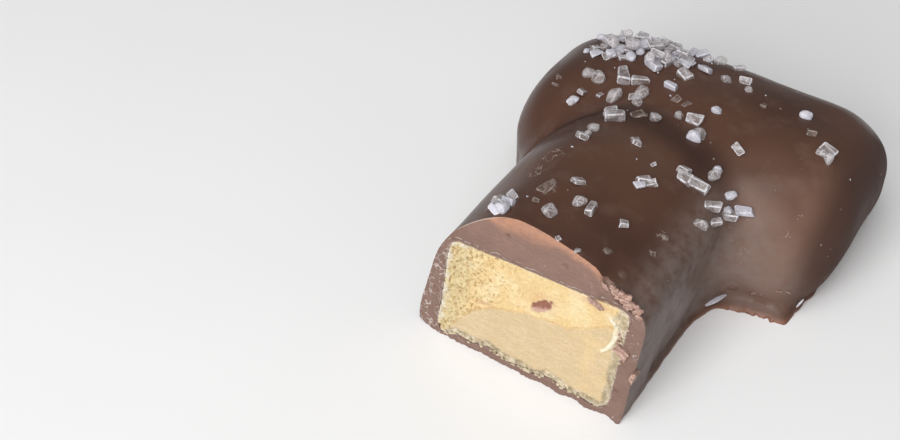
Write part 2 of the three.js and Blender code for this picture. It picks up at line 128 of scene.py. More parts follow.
def stem(x, y, z):
    """Signed distance to the stem, which the knife went through."""
    above = np.maximum(z - STEM_WIDEST_HEIGHT, 0)
    tuck = STEM_TUCK * np.maximum(1 - z / STEM_WIDEST_HEIGHT, 0) ** 2
    left = STEM_LEFT + STEM_LEAN * above ** 2 / (above + STEM_WIDEST_HEIGHT) + tuck
    sides = (left, STEM_RIGHT - tuck, -STEM_NOSE, STEM_NOSE)
    from_ridge = x - STEM_RIDGE
    shoulder = np.where(from_ridge < 0, STEM_SHOULDER_LEFT, STEM_SHOULDER_RIGHT)
    fall = np.where(from_ridge < 0, STEM_FALL_LEFT, STEM_FALL_RIGHT)
    fall = fall * (from_ridge / (shoulder - STEM_RIDGE)) ** 2
    dip = STEM_DIP * (np.maximum(y - STEM_NOSE + STEM_DIP_LENGTH, 0) / STEM_DIP_LENGTH) ** 2
    outline = rounded_rectangle(x, y, sides, (1, 1, STEM_NOSE_RADIUS, STEM_NOSE_RADIUS))
    return rounded_edge(outline, z - STEM_TOP + fall + dip, STEM_SHOULDER_RADIUS)


def crossbar(x, y, z):
    """Signed distance to the crossbar, with a lobe on either side of the stem."""
    middle_x = (BAR_LEFT + BAR_RIGHT) / 2
    middle_y = (BAR_NEAR + BAR_FAR) / 2
    turned_x = (x - middle_x) * math.cos(BAR_TURN) + (y - middle_y) * math.sin(BAR_TURN)
    turned_y = (y - middle_y) * math.cos(BAR_TURN) - (x - middle_x) * math.sin(BAR_TURN)
    opened = np.clip(z / BAR_CORNER_HEIGHT, 0, 1)
    near_right = BAR_NEAR_RIGHT + (BAR_CORNER_OPEN - BAR_NEAR_RIGHT) * opened * (2 - opened)
    radii = (BAR_NEAR_LEFT, near_right, BAR_FAR_LEFT, BAR_FAR_RIGHT)
    above = np.maximum(z - BAR_WIDEST_HEIGHT, 0) / (BAR_TOP - BAR_WIDEST_HEIGHT)
    below = np.maximum(1 - z / BAR_WIDEST_HEIGHT, 0)
    tuck = BAR_TUCK * np.clip(turned_x / BAR_TUCK_REACH, 0, 1) * below ** 2
    fall_ends = BAR_FALL_ENDS * (turned_x / (BAR_RIGHT - middle_x)) ** 2
    fall_sides = BAR_FALL_SIDES * (turned_y / (BAR_FAR - middle_y)) ** 2
    outline = rounded_rectangle(
        turned_x + middle_x, turned_y + middle_y, (BAR_LEFT, BAR_RIGHT, BAR_NEAR, BAR_FAR), radii
    )
    height = z - BAR_TOP + fall_ends + fall_sides
    return rounded_edge(outline + BAR_DRAFT * above ** 2 + tuck, height, BAR_SHOULDER_RADIUS)


def undulation(x, y, z):
    """The slow waves that the wet coat set in."""
    turn = 2 * math.pi / UNDULATION_LENGTH
    long = np.sin(x * turn + 1.1) * np.sin(y * turn * 0.83 + 0.4)
    short = np.sin(y * turn * 1.7 + z * turn + 2) * np.sin(x * turn * 1.3 - z * turn * 0.6)
    return UNDULATION * (long + UNDULATION_SHORT * short)


def coat_outside(x, y, z):
    """Signed distance to the coat's outer face: negative in the bar, positive outside it."""
    blend = VALLEY_BLEND + PUDDLE_BLEND * np.clip(1 - z / PUDDLE_HEIGHT, 0, 1) ** 2
    body = flow_together(stem(x, y, z), crossbar(x, y, z), blend) + undulation(x, y, z)
    reach = FOOT_REACH * (1 - np.clip((x - FOOT_END) / FOOT_FADE, 0, 1))
    return body - reach * np.clip(1 - z / FOOT_HEIGHT, 0, 1) ** 2


# The honeycomb centre's form is needed here too, because the coat is hollow where the centre is.
CENTRE_STEM = (-13.6, 12.9, -30, 40)
CENTRE_BAR = (-18.6, 25.6, 29, 56.4)
CENTRE_BAR_CORNER = 9
CENTRE_BOTTOM = 1
CENTRE_STEM_TOP = 15.2
CENTRE_TOP_SLOPE = 0.045
CENTRE_BAR_TOP = 14
CENTRE_EDGE_RADIUS = 1.3
CENTRE_BAR_EDGE_RADIUS = 3
THINNEST_COAT = 1.15
WAVY_TO = 8                 # the centre's foot is uneven up to this far behind the cut
FOOT_WAVES = ((0.28, 0.62, -1.1), (0.2, 1.31, 2.2))     # height, turn in each mm and start
FOOT_CORNER = (-13.2, 1.2, 0.35)    # the foot's lower left corner: its place, half width and depth


def uneven_foot(x, y):
    """How much higher than its usual bottom the centre ends near the cut."""
    corner, half_width, depth = FOOT_CORNER
    waves = sum(rise * np.sin(x * turn + start) for rise, turn, start in FOOT_WAVES)
    waves = waves - depth * np.exp(-((x - corner) / half_width) ** 2)
    return waves * np.clip(1 - y / WAVY_TO, 0, 1)


def centre_outside(x, y, z):
    """Signed distance to the honeycomb centre."""
    below = CENTRE_BOTTOM + uneven_foot(x, y) - z
    stem_top = np.maximum(z - CENTRE_STEM_TOP - x * CENTRE_TOP_SLOPE, below)
    bar_top = np.maximum(z - CENTRE_BAR_TOP, below)
    stem_plan = rounded_rectangle(x, y, CENTRE_STEM, (2, 2, 2, 2))
    bar_plan = rounded_rectangle(x, y, CENTRE_BAR, (CENTRE_BAR_CORNER,) * 4)
    in_stem = rounded_edge(stem_plan, stem_top, CENTRE_EDGE_RADIUS)
    in_bar = rounded_edge(bar_plan, bar_top, CENTRE_BAR_EDGE_RADIUS)
    return np.maximum(flow_together(in_stem, in_bar, 2), coat_outside(x, y, z) + THINNEST_COAT)


def ended_beyond_cut(form):
    """The form, ended flat a little in front of the cut and below the base."""
    return lambda x, y, z: np.maximum(np.maximum(form(x, y, z), -SPARE / 2 - y), -SPARE / 2 - z)


def places_of(mesh):
    places = np.zeros(len(mesh.vertices) * 3)
    mesh.vertices.foreach_get("co", places)
    return places.reshape(-1, 3)


SETTLING_ROUNDS = 5
SETTLING_SLOPE = 0.2        # a flatter slope than this counts as this, so that no vertex jumps
SMOOTHING_ROUNDS = 3


def slope_of(form, places, probe=0.02):
    """Which way, and how fast, the form's distance grows at each place."""
    slope = np.zeros_like(places)
    for axis in range(3):
        step = np.zeros(3)
        step[axis] = probe
        slope[:, axis] = (form(*(places + step).T) - form(*(places - step).T)) / (2 * probe)
    return slope


def settle(mesh, form, distance=0.0):
    """Moves each vertex along the form's slope until it lies at a distance from its face."""
    places = places_of(mesh)
    for _ in range(SETTLING_ROUNDS):
        slope = slope_of(form, places)
        steepness = np.maximum((slope ** 2).sum(1), SETTLING_SLOPE)
        places += slope * ((distance - form(*places.T)) / steepness)[:, None]
    mesh.vertices.foreach_set("co", places.ravel())
    mesh.update()


def put_in_scene(bm, name):
    """A new object of this mesh."""
    mesh = bpy.data.meshes.new(name)
    bm.to_mesh(mesh)
    bm.free()
    piece = bpy.data.objects.new(name, mesh)
    bpy.context.scene.collection.objects.link(piece)
    return piece


def finish_modifiers(piece):
    """Applies the piece's modifiers to its mesh."""
    evaluated = piece.evaluated_get(bpy.context.evaluated_depsgraph_get())
    finished = bpy.data.meshes.new_from_object(evaluated)
    piece.modifiers.clear()
    finished.materials.clear()
    old = piece.data
    piece.data = finished
    bpy.data.meshes.remove(old)


def rough_block(bm, low, high):
    """A box from its lowest to its highest corner."""
    middle = [(a + b) / 2 for a, b in zip(low, high)]
    size = [b - a for a, b in zip(low, high)]
    matrix = Matrix.Translation(middle) @ Matrix.Diagonal((*size, 1))
    bmesh.ops.create_cube(bm, size=1, matrix=matrix)


def moulded(name, form, blocks, step, distance=0.0):
    """Rough blocks joined into one skin of even faces, then settled on a form."""
    bm = bmesh.new()
    for low, high in blocks:
        rough_block(bm, low, high)
    piece = put_in_scene(bm, name)
    remesh = piece.modifiers.new("even skin", "REMESH")
    remesh.mode = "VOXEL"
    remesh.voxel_size = step
    finish_modifiers(piece)
    for _ in range(SMOOTHING_ROUNDS):
        settle(piece.data, form, distance)
        bm = bmesh.new()
        bm.from_mesh(piece.data)
        bmesh.ops.smooth_vert(
            bm, verts=bm.verts, factor=0.5, use_axis_x=True, use_axis_y=True, use_axis_z=True
        )
        bm.to_mesh(piece.data)
        bm.free()
    settle(piece.data, form, distance)
    return piece


def cut_away(piece, tool):
    """Takes the tool's space out of the piece, and the tool out of the scene."""
    cut = piece.modifiers.new("cut", "BOOLEAN")
    cut.operation = "DIFFERENCE"
    cut.solver = "MANIFOLD"
    cut.object = tool
    finish_modifiers(piece)
    mesh = tool.data
    bpy.data.objects.remove(tool)
    bpy.data.meshes.remove(mesh)


def knife(name, width, height, step, depth_at):
    """All that lies in front of the leaning cut. Its face is a fine grid with the cut's relief."""
    bm = bmesh.new()
    upright = Matrix.Translation((0, 0, height / 2 - 2)) @ Matrix.Rotation(math.pi / 2, 4, "X")
    bmesh.ops.create_grid(
        bm,
        x_segments=round(width / step),
        y_segments=round(height / step),
        size=0.5,
        matrix=upright @ Matrix.Diagonal((width, height, 1, 1)),
    )
    face = list(bm.verts)
    places = np.array([v.co for v in face])
    for vertex, depth in zip(face, depth_at(places[:, 0], places[:, 2])):
        vertex.co.y = depth
    front = bmesh.ops.extrude_face_region(bm, geom=bm.faces[:])["geom"]
    for vertex in (v for v in front if isinstance(v, bmesh.types.BMVert)):
        vertex.co.y = -2 * SPARE
    bmesh.ops.recalc_face_normals(bm, faces=bm.faces)
    bmesh.ops.transform(bm, verts=bm.verts, matrix=Matrix.Rotation(-CUT_LEAN, 4, "X"))
    return put_in_scene(bm, name)


def on_cut(x, height):
    """The place on the flat of the cut at this height along it."""
    return x, height * math.sin(CUT_LEAN), height * math.cos(CUT_LEAN)


def height_on_cut(places):
    return places[:, 1] * math.sin(CUT_LEAN) + places[:, 2] * math.cos(CUT_LEAN)


def depth_behind_cut(places):
    return places[:, 1] * math.cos(CUT_LEAN) - places[:, 2] * math.sin(CUT_LEAN)


def draws_from(seed):
    """Numbers from 0 to 1 that are the same each time, from a seed."""
    state = (seed * 7919 + 104729) % 4294967296
    while True:
        state = (state * 1664525 + 1013904223) % 4294967296
        yield state / 4294967296


def roughness_at(x, height, size, seed):
    """Uneven values from about -1 to 1 over the cut, with lumps of this size."""
    return np.array([
        noise.noise(Vector((a / size, b / size, seed))) for a, b in zip(x, height)
    ])


def rising(value, start, end):
    """0 up to the start, 1 from the end on, and straight between. The end may be the lower one."""
    return np.clip((value - start) / (end - start), 0, 1)


CUT_PITS = ((13.5, 4.5), (11.6, 2.2), (-14.7, 6.5), (3.1, 18.9), (-5.5, 19.4))
PIT_RADIUS = 0.28
PIT_DEPTH = 0.4
RIM_ROUNDING = 0.16
RIM_ROUNDED_TO = 0.25
RING_GRAIN = (          # how deep, how much X counts in it, size and seed
    (0.03, 0.25, 0.35, 3.0), (0.06, 1, 1.6, 7.0),
)
LEFT_GRAIN = 0.10       # the left of the ring is rougher
STEP_WIDTH = 0.6        # above the centre a strip of the cut broke away a little deeper
STEP_UNEVEN = 0.4
STEP_DEPTH = 0.28
STEP_ABOVE = (14, 15)
CREVICE = (11.8, 17.4, 1.5, 0.2)    # at the upper right: place on the cut, half length and width
CREVICE_FALL = 0.25
CREVICE_DEPTH = 0.7
CHIP_FROM, CHIP_TO = 8.2, 12.6      # the rim is chipped off between these
CHIP_ABOVE = (15, 16.5)
CHIP_DEPTH = 0.4
CHIP_WIDTH = 0.75
NICKS = ((0.5, 2.3, 15.0), (0.3, 0.6, 16.0))        # in the foot of the ring: depth, size and seed
NICKS_UP_TO = 0.6
CORNER_CHIP = (-17, 1.2, 1.2)       # the ring's lower left corner: its place, half width and depth


def step_width(x, height):
    return STEP_WIDTH + STEP_UNEVEN * roughness_at(x, height * 0.2, 1.4, 17.0)


def ring_relief(x, height):
    """How deep the knife left the chocolate ring: a rim, drag lines, pits, a step and chips."""
    place = on_cut(x, height)
    below_skin = np.maximum(-coat_outside(*place), 0)
    depth = RIM_ROUNDING * np.exp(-below_skin / RIM_ROUNDED_TO)
    for deep, stretch, size, seed in RING_GRAIN:
        depth += deep * roughness_at(x * stretch, height, size, seed)
    depth += LEFT_GRAIN * rising(x, -11, -13) * roughness_at(x, height, 0.7, 9.0)
    for pit_x, pit_height in CUT_PITS:
        from_pit = (x - pit_x) ** 2 + (height - pit_height) ** 2
        depth += PIT_DEPTH * np.exp(-from_pit / PIT_RADIUS ** 2)
    inside_step = step_width(x, height) - centre_outside(*place)
    depth += STEP_DEPTH * rising(inside_step, 0, 0.2) * rising(height, *STEP_ABOVE)
    crevice_x, crevice_height, half_length, half_width = CREVICE
    lengthwise = (x - crevice_x) / half_length
    crosswise = (height - crevice_height + CREVICE_FALL * (x - crevice_x)) / half_width
    depth += CREVICE_DEPTH * np.exp(-lengthwise ** 4 - crosswise ** 2)
    chipped = rising(x, CHIP_FROM, CHIP_FROM + 0.6) * rising(height, *CHIP_ABOVE)
    depth += CHIP_DEPTH * chipped * np.clip(0.3 + roughness_at(x, height, 0.9, 12.0), 0, 1)
    broken = chipped * rising(x, CHIP_TO, CHIP_TO - 1.2)
    broken_to = CHIP_WIDTH + 0.4 * roughness_at(x, height, 1.0, 14.0)
    depth += CHIP_DEPTH * broken * np.exp(-(below_skin / broken_to) ** 2)
    nicked = sum(deep * roughness_at(x, height, size, seed) for deep, size, seed in NICKS)
    corner, half_width, deep = CORNER_CHIP
    nicked = nicked + deep * np.exp(-((x - corner) / half_width) ** 2)
    return depth + nicked * np.exp(-np.maximum(height, 0) / NICKS_UP_TO)


COAT_STEP = 0.5
HOLLOW_STEP = 1.0
RING_STEP = 0.2
RING_KNIFE = (38, 30)       # width and height
BEYOND = 80                 # farther out than any part of the bar
CENTRE_BLOCKS = (
    (
        (CENTRE_STEM[0], -SPARE / 2, CENTRE_BOTTOM),
        (CENTRE_STEM[1], CENTRE_STEM[3], CENTRE_STEM_TOP),
    ),
    ((CENTRE_BAR[0], CENTRE_BAR[2], CENTRE_BOTTOM), (CENTRE_BAR[1], CENTRE_BAR[3], CENTRE_BAR_TOP)),
)

coat = moulded(
    "milk_chocolate_coat",
    ended_beyond_cut(coat_outside),
    (
        ((STEM_LEFT, -SPARE / 2, -SPARE / 2), (STEM_RIGHT, STEM_NOSE, STEM_TOP)),
        ((BAR_LEFT, BAR_NEAR, -SPARE / 2), (BAR_RIGHT, BAR_FAR, BAR_TOP)),
    ),
    COAT_STEP,
)
hollow = moulded("hollow", ended_beyond_cut(centre_outside), CENTRE_BLOCKS, HOLLOW_STEP)
cut_away(coat, hollow)
floor_tool = bmesh.new()
rough_block(floor_tool, (-BEYOND, -BEYOND, -BEYOND), (BEYOND, BEYOND, 0))
cut_away(coat, put_in_scene(floor_tool, "below the base"))
cut_away(coat, knife("coat knife", *RING_KNIFE, RING_STEP, ring_relief))


def window(value, *stops):
    """0, 1, 1 and 0 at the four stops, and soft between them."""
    both = np.minimum(rising(value, stops[0], stops[1]), rising(value, stops[3], stops[2]))
    return both * both * (3 - 2 * both)


def make_finer(piece, is_chosen, cuts):
    """Splits the faces whose corners are all chosen into smaller ones."""
    chosen = is_chosen(places_of(piece.data))
    bm = bmesh.new()
    bm.from_mesh(piece.data)
    edges = [edge for edge in bm.edges if all(chosen[vertex.index] for vertex in edge.verts)]
    bmesh.ops.subdivide_edges(bm, edges=edges, cuts=cuts, use_grid_fill=True)
    bmesh.ops.triangulate(bm, faces=[face for face in bm.faces if len(face.verts) > 4])
    bm.to_mesh(piece.data)
    bm.free()


def move_into_frame(piece):
    """From the shaping place, in mm, to the frame's, in metres."""
    piece.data.transform(Matrix.Diagonal((MM, MM, MM, 1)) @ Matrix.Translation(-ORIGIN))
    piece.data.update()


def fill_inputs(tree, node, inputs):
    """Links each named input that is given another node's output, and sets the others."""
    for name, value in inputs.items():
        if isinstance(value, bpy.types.NodeSocket):
            tree.links.new(value, node.inputs[name])
        else:
            node.inputs[name].default_value = value


def add_node(tree, kind, inputs=None, **settings):
    node = tree.nodes.new(kind)
    for name, value in settings.items():
        setattr(node, name, value)
    fill_inputs(tree, node, inputs or {})
    return node


def mixed(tree, factor, a, b):
    """Colour a where the factor is 0 and colour b where it is 1."""
    return add_node(tree, "ShaderNodeMix", {0: factor, 6: a, 7: b}, data_type="RGBA").outputs[2]


def calculated(tree, operation, *values):
    inputs = dict(enumerate(values))
    return add_node(tree, "ShaderNodeMath", inputs, operation=operation).outputs[0]


def combined(tree, operation, *values):
    """All the values taken together by one operation, from the first to the last."""
    result = values[0]
    for value in values[1:]:
        result = calculated(tree, operation, result, value)
    return result


def times(tree, *values):
    return combined(tree, "MULTIPLY", *values)


def ramped(tree, value, start, end, low=0.0, high=1.0):
    """Goes softly from low to high while the value goes from start to end."""
    inputs = {"Value": value, "From Min": start, "From Max": end, "To Min": low, "To Max": high}
    return add_node(tree, "ShaderNodeMapRange", inputs, interpolation_type="SMOOTHSTEP").outputs[0]


def effect_group(name, inputs):
    """A shader node group with a place, named numbers, and one mask to put out."""
    group = bpy.data.node_groups.new(name, "ShaderNodeTree")
    group.interface.new_socket("Place", in_out="INPUT", socket_type="NodeSocketVector")
    for socket, value in inputs.items():
        made = group.interface.new_socket(socket, in_out="INPUT", socket_type="NodeSocketFloat")
        made.default_value = value
    group.interface.new_socket("Mask", in_out="OUTPUT", socket_type="NodeSocketFloat")
    given = group.nodes.new("NodeGroupInput").outputs
    wanted = group.nodes.new("NodeGroupOutput").inputs
    return group, given, wanted


def from_group(tree, group, place, **numbers):
    """The mask of an effect on a piece, with the effect's own numbers."""
    inputs = {"Place": place}
    inputs.update({name.capitalize(): value for name, value in numbers.items()})
    return add_node(tree, "ShaderNodeGroup", inputs, node_tree=group).outputs["Mask"]


# Soft cloudy patches of a size in mm. Start and end say how much of the surface they cover.
patches, given, wanted = effect_group(
    "soft_patches", {"Size": 5, "Detail": 2, "Start": 0.4, "End": 0.6}
)
per_metre = calculated(patches, "DIVIDE", 1 / MM, given["Size"])
cloud = add_node(
    patches, "ShaderNodeTexNoise",
    {"Vector": given["Place"], "Scale": per_metre, "Detail": given["Detail"], "Roughness": 0.55},
)
patches.links.new(ramped(patches, cloud.outputs[0], given["Start"], given["End"]), wanted["Mask"])

# Round specks, so many mm apart. Share says how many of them there are, radius how large, in parts
# of their spacing.
specks, given, wanted = effect_group("specks", {"Spacing": 1, "Share": 0.3, "Radius": 0.2})
per_metre = calculated(specks, "DIVIDE", 1 / MM, given["Spacing"])
cells = add_node(specks, "ShaderNodeTexVoronoi", {"Vector": given["Place"], "Scale": per_metre})
chance = add_node(specks, "ShaderNodeSeparateColor", {0: cells.outputs["Color"]}).outputs[0]
chosen = calculated(specks, "LESS_THAN", chance, given["Share"])
half_radius = times(specks, given["Radius"], 0.5)
dot = ramped(specks, cells.outputs["Distance"], given["Radius"], half_radius)
specks.links.new(times(specks, dot, chosen), wanted["Mask"])

# Thin wavy lines, as a blade or a rub leaves. They follow where a cloudy pattern has one value.
scratches, given, wanted = effect_group("curly_scratches", {"Size": 2, "Width": 0.02})
per_metre = calculated(scratches, "DIVIDE", 1 / MM, given["Size"])
cloud = add_node(
    scratches, "ShaderNodeTexNoise", {"Vector": given["Place"], "Scale": per_metre, "Detail": 1.5}
)
off_middle = calculated(scratches, "SUBTRACT", cloud.outputs[0], 0.5)
off_line = calculated(scratches, "ABSOLUTE", off_middle)
scratches.links.new(ramped(scratches, off_line, given["Width"], 0.0), wanted["Mask"])


def new_material(name):
    """A material, its node tree, its shader and the place on the piece."""
    material = bpy.data.materials.new(name)
    material.use_nodes = True
    tree = material.node_tree
    place = add_node(tree, "ShaderNodeTexCoord").outputs["Object"]
    return material, tree, tree.nodes["Principled BSDF"], place


def attribute(tree, name):
    return add_node(tree, "ShaderNodeAttribute", attribute_name=name).outputs["Fac"]


def bumped(tree, height, distance):
    """The normal of a surface with this relief. The distance is in mm."""
    inputs = {"Height": height, "Distance": distance * MM, "Strength": 1.0}
    return add_node(tree, "ShaderNodeBump", inputs).outputs["Normal"]


def around(tree, place, middle, reach):
    """1 at a place of the shaping frame, in mm, and softly down to 0 at its reach."""
    inputs = {0: place, 1: (Vector(middle) - ORIGIN) * MM}
    distance = add_node(tree, "ShaderNodeVectorMath", inputs, operation="DISTANCE")
    return ramped(tree, distance.outputs["Value"], reach * MM, reach * 0.3 * MM)


def axes_of(tree, place):
    return add_node(tree, "ShaderNodeSeparateXYZ", {0: place}).outputs


def along(tree, axis, start, end, low=0.0, high=1.0):
    """Goes softly from low to high between two places on one axis of the frame, in mm."""
    return ramped(tree, axis, start * MM, end * MM, low, high)


def stretched(tree, place, scale, turn=0.0):
    """The place for a pattern that is drawn out along X, and turned in the cut."""
    inputs = {"Vector": place, "Rotation": (0, turn, 0), "Scale": (scale, 1, 1)}
    return add_node(tree, "ShaderNodeMapping", inputs).outputs[0]


def layered(tree, colour, *layers):
    """Lays colours over a first one. Each layer is a colour, and the factors of its mask."""
    for over, *factors in layers:
        colour = mixed(tree, times(tree, *factors), colour, over)
    return colour


SKIN_WRINKLES = (       # small pale wrinkles in the skin: place, reach and strength
    ((-7.8, 20, 20.4), 2, 0.9), ((-8.2, 16.3, 20), 1.8, 0.9), ((-4.7, 12.6, 21.4), 1.8, 0.8),
    ((22.6, 30.4, 13.4), 0.9, 0.5), ((18.2, 26.9, 10.7), 1.2, 0.3), ((10.6, 16.2, 18.5), 1.1, 0.8),
)
CHOCOLATE_IOR = 1.46


def skin_material():
    """Set milk chocolate: dark satin brown, paler on the right lobe and the stem's right wall,
    partly bloom and partly painted sheen, with a painted highlight on the stem's nose and painted
    shade along the valley and at both ends.
    """
    material, tree, shader, place = new_material("set_milk_chocolate")
    brown = (0.094, 0.042, 0.026, 1)
    # the coat's uneven darker tone, also used as painted shade at both ends
    darker = (0.066, 0.029, 0.019, 1)
    # painted shade, for the valley and the right end
    shaded = (0.028, 0.013, 0.010, 1)
    # painted highlight on the stem's nose
    painted_highlight = (0.140, 0.066, 0.039, 1)
    film = (0.200, 0.088, 0.055, 1)
    paler = (0.150, 0.085, 0.062, 1)
    # partly bloom, partly painted sheen and light on the right lobe
    bloom_and_sheen = (0.235, 0.138, 0.104, 1)
    # partly haze, partly painted sheen on the stem's right wall
    greyish = (0.180, 0.137, 0.118, 1)
    dust = (0.42, 0.35, 0.30, 1)
    x, y, z = axes_of(tree, place)
    broad = from_group(tree, patches, place, size=15, detail=2, start=0.35, end=0.7)
    cloudy = from_group(tree, patches, place, size=4, detail=3, start=0.5, end=0.72)
    fine = from_group(tree, patches, place, size=0.5, detail=2, start=0.35, end=0.75)
    uneven = from_group(tree, patches, place, size=12, detail=3, start=0.1, end=0.6)
    rubbed_and_sheen = from_group(tree, patches, place, size=1.6, detail=4, start=0.1, end=0.75)
    specked = from_group(tree, specks, place, spacing=1.7, share=0.1, radius=0.12)
    finely = from_group(tree, specks, place, spacing=0.8, share=0.10, radius=0.16)
    sunk = from_group(tree, specks, place, spacing=6.5, share=0.3, radius=0.17)
    wrinkled = from_group(tree, scratches, place, size=1.1, width=0.03)
    wrinkles = [
        (dust, wrinkled, around(tree, place, spot, reach), strength)
        for spot, reach, strength in SKIN_WRINKLES
    ]
    # on_nose: where the highlight is painted on the stem's nose
    on_nose = around(tree, place, (2, 28, 20), 9)
    # on_lobe: where paler sheen and light are painted on the right lobe, with some bloom
    on_lobe = around(tree, place, (23, 29, 9), 19)
    # on_wall: the stem's right wall, where greyish haze and painted sheen lie
    on_wall = times(
        tree, along(tree, x, 6, 11), along(tree, y, 2, -6),
        along(tree, z, 21.5, 17.5), along(tree, z, 0.6, 1.4),
    )
    # where sheen is painted, on the stem's right wall and the right lobe; these parts are also
    # rougher and carry more fine dust
    wear_and_sheen = calculated(tree, "MAXIMUM", on_wall, on_lobe)
    dusted = calculated(tree, "MAXIMUM", specked, times(tree, finely, wear_and_sheen))
    colour = layered(
        tree, mixed(tree, broad, brown, darker),
        (paler, cloudy, 0.3),
        # painted highlight on the stem's nose
        (painted_highlight, on_nose, 0.4),
        # painted shade along the valley
        (shaded, attribute(tree, "in_valley"), 0.75),
        # painted shade: darker towards the left end
        (darker, along(tree, x, -15, -20, 0, 0.8)),
        # partly bloom, partly painted sheen and light, paler on the right lobe
        (bloom_and_sheen, on_lobe, uneven, 0.54),
        # painted shade on the right end, which faces away from the light
        (darker, along(tree, x, 20, 24, 0, 0.95)),
        (shaded, along(tree, x, 22, 26, 0, 0.15)),
        # greyish haze and painted sheen on the stem's right wall
        (greyish, on_wall, rubbed_and_sheen, 0.82),
        (dust, dusted, 0.6),
        *wrinkles,
        (brown, along(tree, z, 5.5, 1.5), along(tree, x, 11, 15), 0.45),
        (film, along(tree, z, 0.9, 0.2), along(tree, x, 7, 12), 0.8),
        (paler, sunk, 0.5),
    )
    at_right_end = along(tree, x, 21, 25, 0, 0.35)
    roughness = combined(
        tree, "ADD", times(tree, cloudy, 0.10), 0.33, times(tree, wear_and_sheen, 0.12), at_right_end
    )
    relief = combined(tree, "ADD", times(tree, fine, 0.10), dusted, times(tree, sunk, 2.5))
    fill_inputs(tree, shader, {
        "Base Color": colour,
        "Roughness": roughness,
        "IOR": CHOCOLATE_IOR,
        "Specular IOR Level": 0.4,
        "Normal": bumped(tree, relief, 0.06),
    })
    return material


def cut_chocolate_material():
    """Knife-cut milk chocolate: pale and dry, tan where the blade pressed the rim, scratched."""
    material, tree, shader, place = new_material("cut_milk_chocolate")
    brown = (0.184, 0.107, 0.083, 1)
    darker = (0.128, 0.070, 0.053, 1)
    tan = (0.390, 0.190, 0.114, 1)
    frosty = (0.56, 0.48, 0.43, 1)
    below_skin = attribute(tree, "below_skin")
    off_step = attribute(tree, "off_step")
    x, _, z = axes_of(tree, place)
    broad = from_group(tree, patches, place, size=3, detail=3, start=0.4, end=0.65)
    fine = from_group(tree, patches, place, size=0.35, detail=2, start=0.35, end=0.65)
    uneven = from_group(tree, patches, place, size=0.7, detail=3, start=0.2, end=0.7)
    at_top = along(tree, z, 15, 18)

    # The tan band is a thin line at the left, widest left of the middle, and ends at the chip.
    widening = along(tree, x, -12.5, -8.7, 0.04, 1.3)
    wide = calculated(tree, "SUBTRACT", widening, along(tree, x, -5, 0, 0, 0.85))
    wavering = times(tree, broad, along(tree, x, -12, -9, 0, 0.35))
    in_band = calculated(tree, "DIVIDE", below_skin, calculated(tree, "ADD", wide, wavering))
    band = times(
        tree, ramped(tree, in_band, 1.9, 0.4), ramped(tree, uneven, 0, 1, 0.6, 1),
        at_top, along(tree, x, 5.5, 4.5),
    )
    on_step = times(tree, ramped(tree, off_step, 0.05, -0.1), at_top)

    # Frosty marks: the step's edge, curls at the left, drawn lines, bits, sugar and the rim's line.
    broken = from_group(tree, patches, place, size=0.9, detail=2, start=0.42, end=0.55)
    rare = from_group(tree, patches, place, size=3.5, detail=1, start=0.58, end=0.66)
    frayed = from_group(tree, patches, place, size=1.1, detail=2, start=0.35, end=0.5)
    curly = from_group(tree, scratches, place, size=1.3, width=0.035)
    drawn = from_group(tree, scratches, place, size=1.1, width=0.03)
    bits = from_group(tree, specks, place, spacing=0.9, share=0.12, radius=0.18)
    by_step = ramped(tree, calculated(tree, "ABSOLUTE", off_step), 0.18, 0.03)
    by_centre = ramped(tree, attribute(tree, "off_centre"), 0.2, 0.05)
    marks = combined(
        tree, "MAXIMUM",
        times(tree, by_step, along(tree, z, 14, 15), broken),
        times(tree, curly, along(tree, x, -13.5, -15), along(tree, z, 15, 12)),
        times(tree, drawn, rare),
        times(tree, bits, 0.7),
        times(
            tree, by_centre, frayed,
            along(tree, z, 1.2, 3, 0.15, 0.6), along(tree, z, 13, 15, 1, 0.6),
        ),
        times(tree, ramped(tree, below_skin, 0.25, 0.05), along(tree, x, -9.5, -11.5), at_top, 0.6),
    )
    colour = layered(
        tree, brown,
        (darker, broad, 0.35),
        (darker, fine, 0.2),
        (tan, at_top, 0.07),
        (tan, band, 0.9),
        (darker, on_step, 0.55),
        (frosty, marks, 0.6),
    )
    dragged = from_group(
        tree, patches, stretched(tree, place, 0.25), size=0.4, detail=2, start=0.3, end=0.7
    )
    relief = calculated(tree, "ADD", times(tree, dragged, 0.6), marks)
    fill_inputs(tree, shader, {
        "Base Color": colour,
        "Roughness": 0.62,
        "IOR": CHOCOLATE_IOR,
        "Normal": bumped(tree, relief, 0.10),
    })
    return material


def write_attribute(piece, name, values):
    piece.data.attributes.new(name, "FLOAT", "POINT").data.foreach_set("value", values)


def face_middles(mesh):
    middles = np.zeros(len(mesh.polygons) * 3)
    mesh.polygons.foreach_get("center", middles)
    return middles.reshape(-1, 3)


def face_normals(mesh):
    normals = np.zeros(len(mesh.polygons) * 3)
    mesh.polygons.foreach_get("normal", normals)
    return normals.reshape(-1, 3)


def shade(piece, sharpest):
    """Smooth, but for the edges that are sharper than this many degrees."""
    piece.data.shade_smooth()
    piece.data.set_sharp_from_angle(angle=math.radians(sharpest))


SKIN_WITHIN = 0.2
DEEPEST_CUT = 1.6
FACING_KNIFE = 0.55
LIP_HEIGHT = 1.6
LIP_REACH = 0.5
LIP_UNEVEN = 1.7
FILM = ((16.5, 20, 25, 27), (20, 24, 31, 33))   # a film spread before the right lobe: along X and Y
FILM_REACH = 1.3
FILM_LIP = 0.7          # its very edge, up to this height, is frayed more finely
FILM_FRAYED = (0.6, 0.65)
CORNER = (28.6, 31.2)   # the lobe's right corner stands back here
CORNER_REACH = 3.2
CORNER_HEIGHT = 6
CORNER_DEPTH = 1.3
CREASE_WIDTH = 0.9      # left of the stem the two parts meet in a sharp crease
CREASE_DEPTH = 0.45
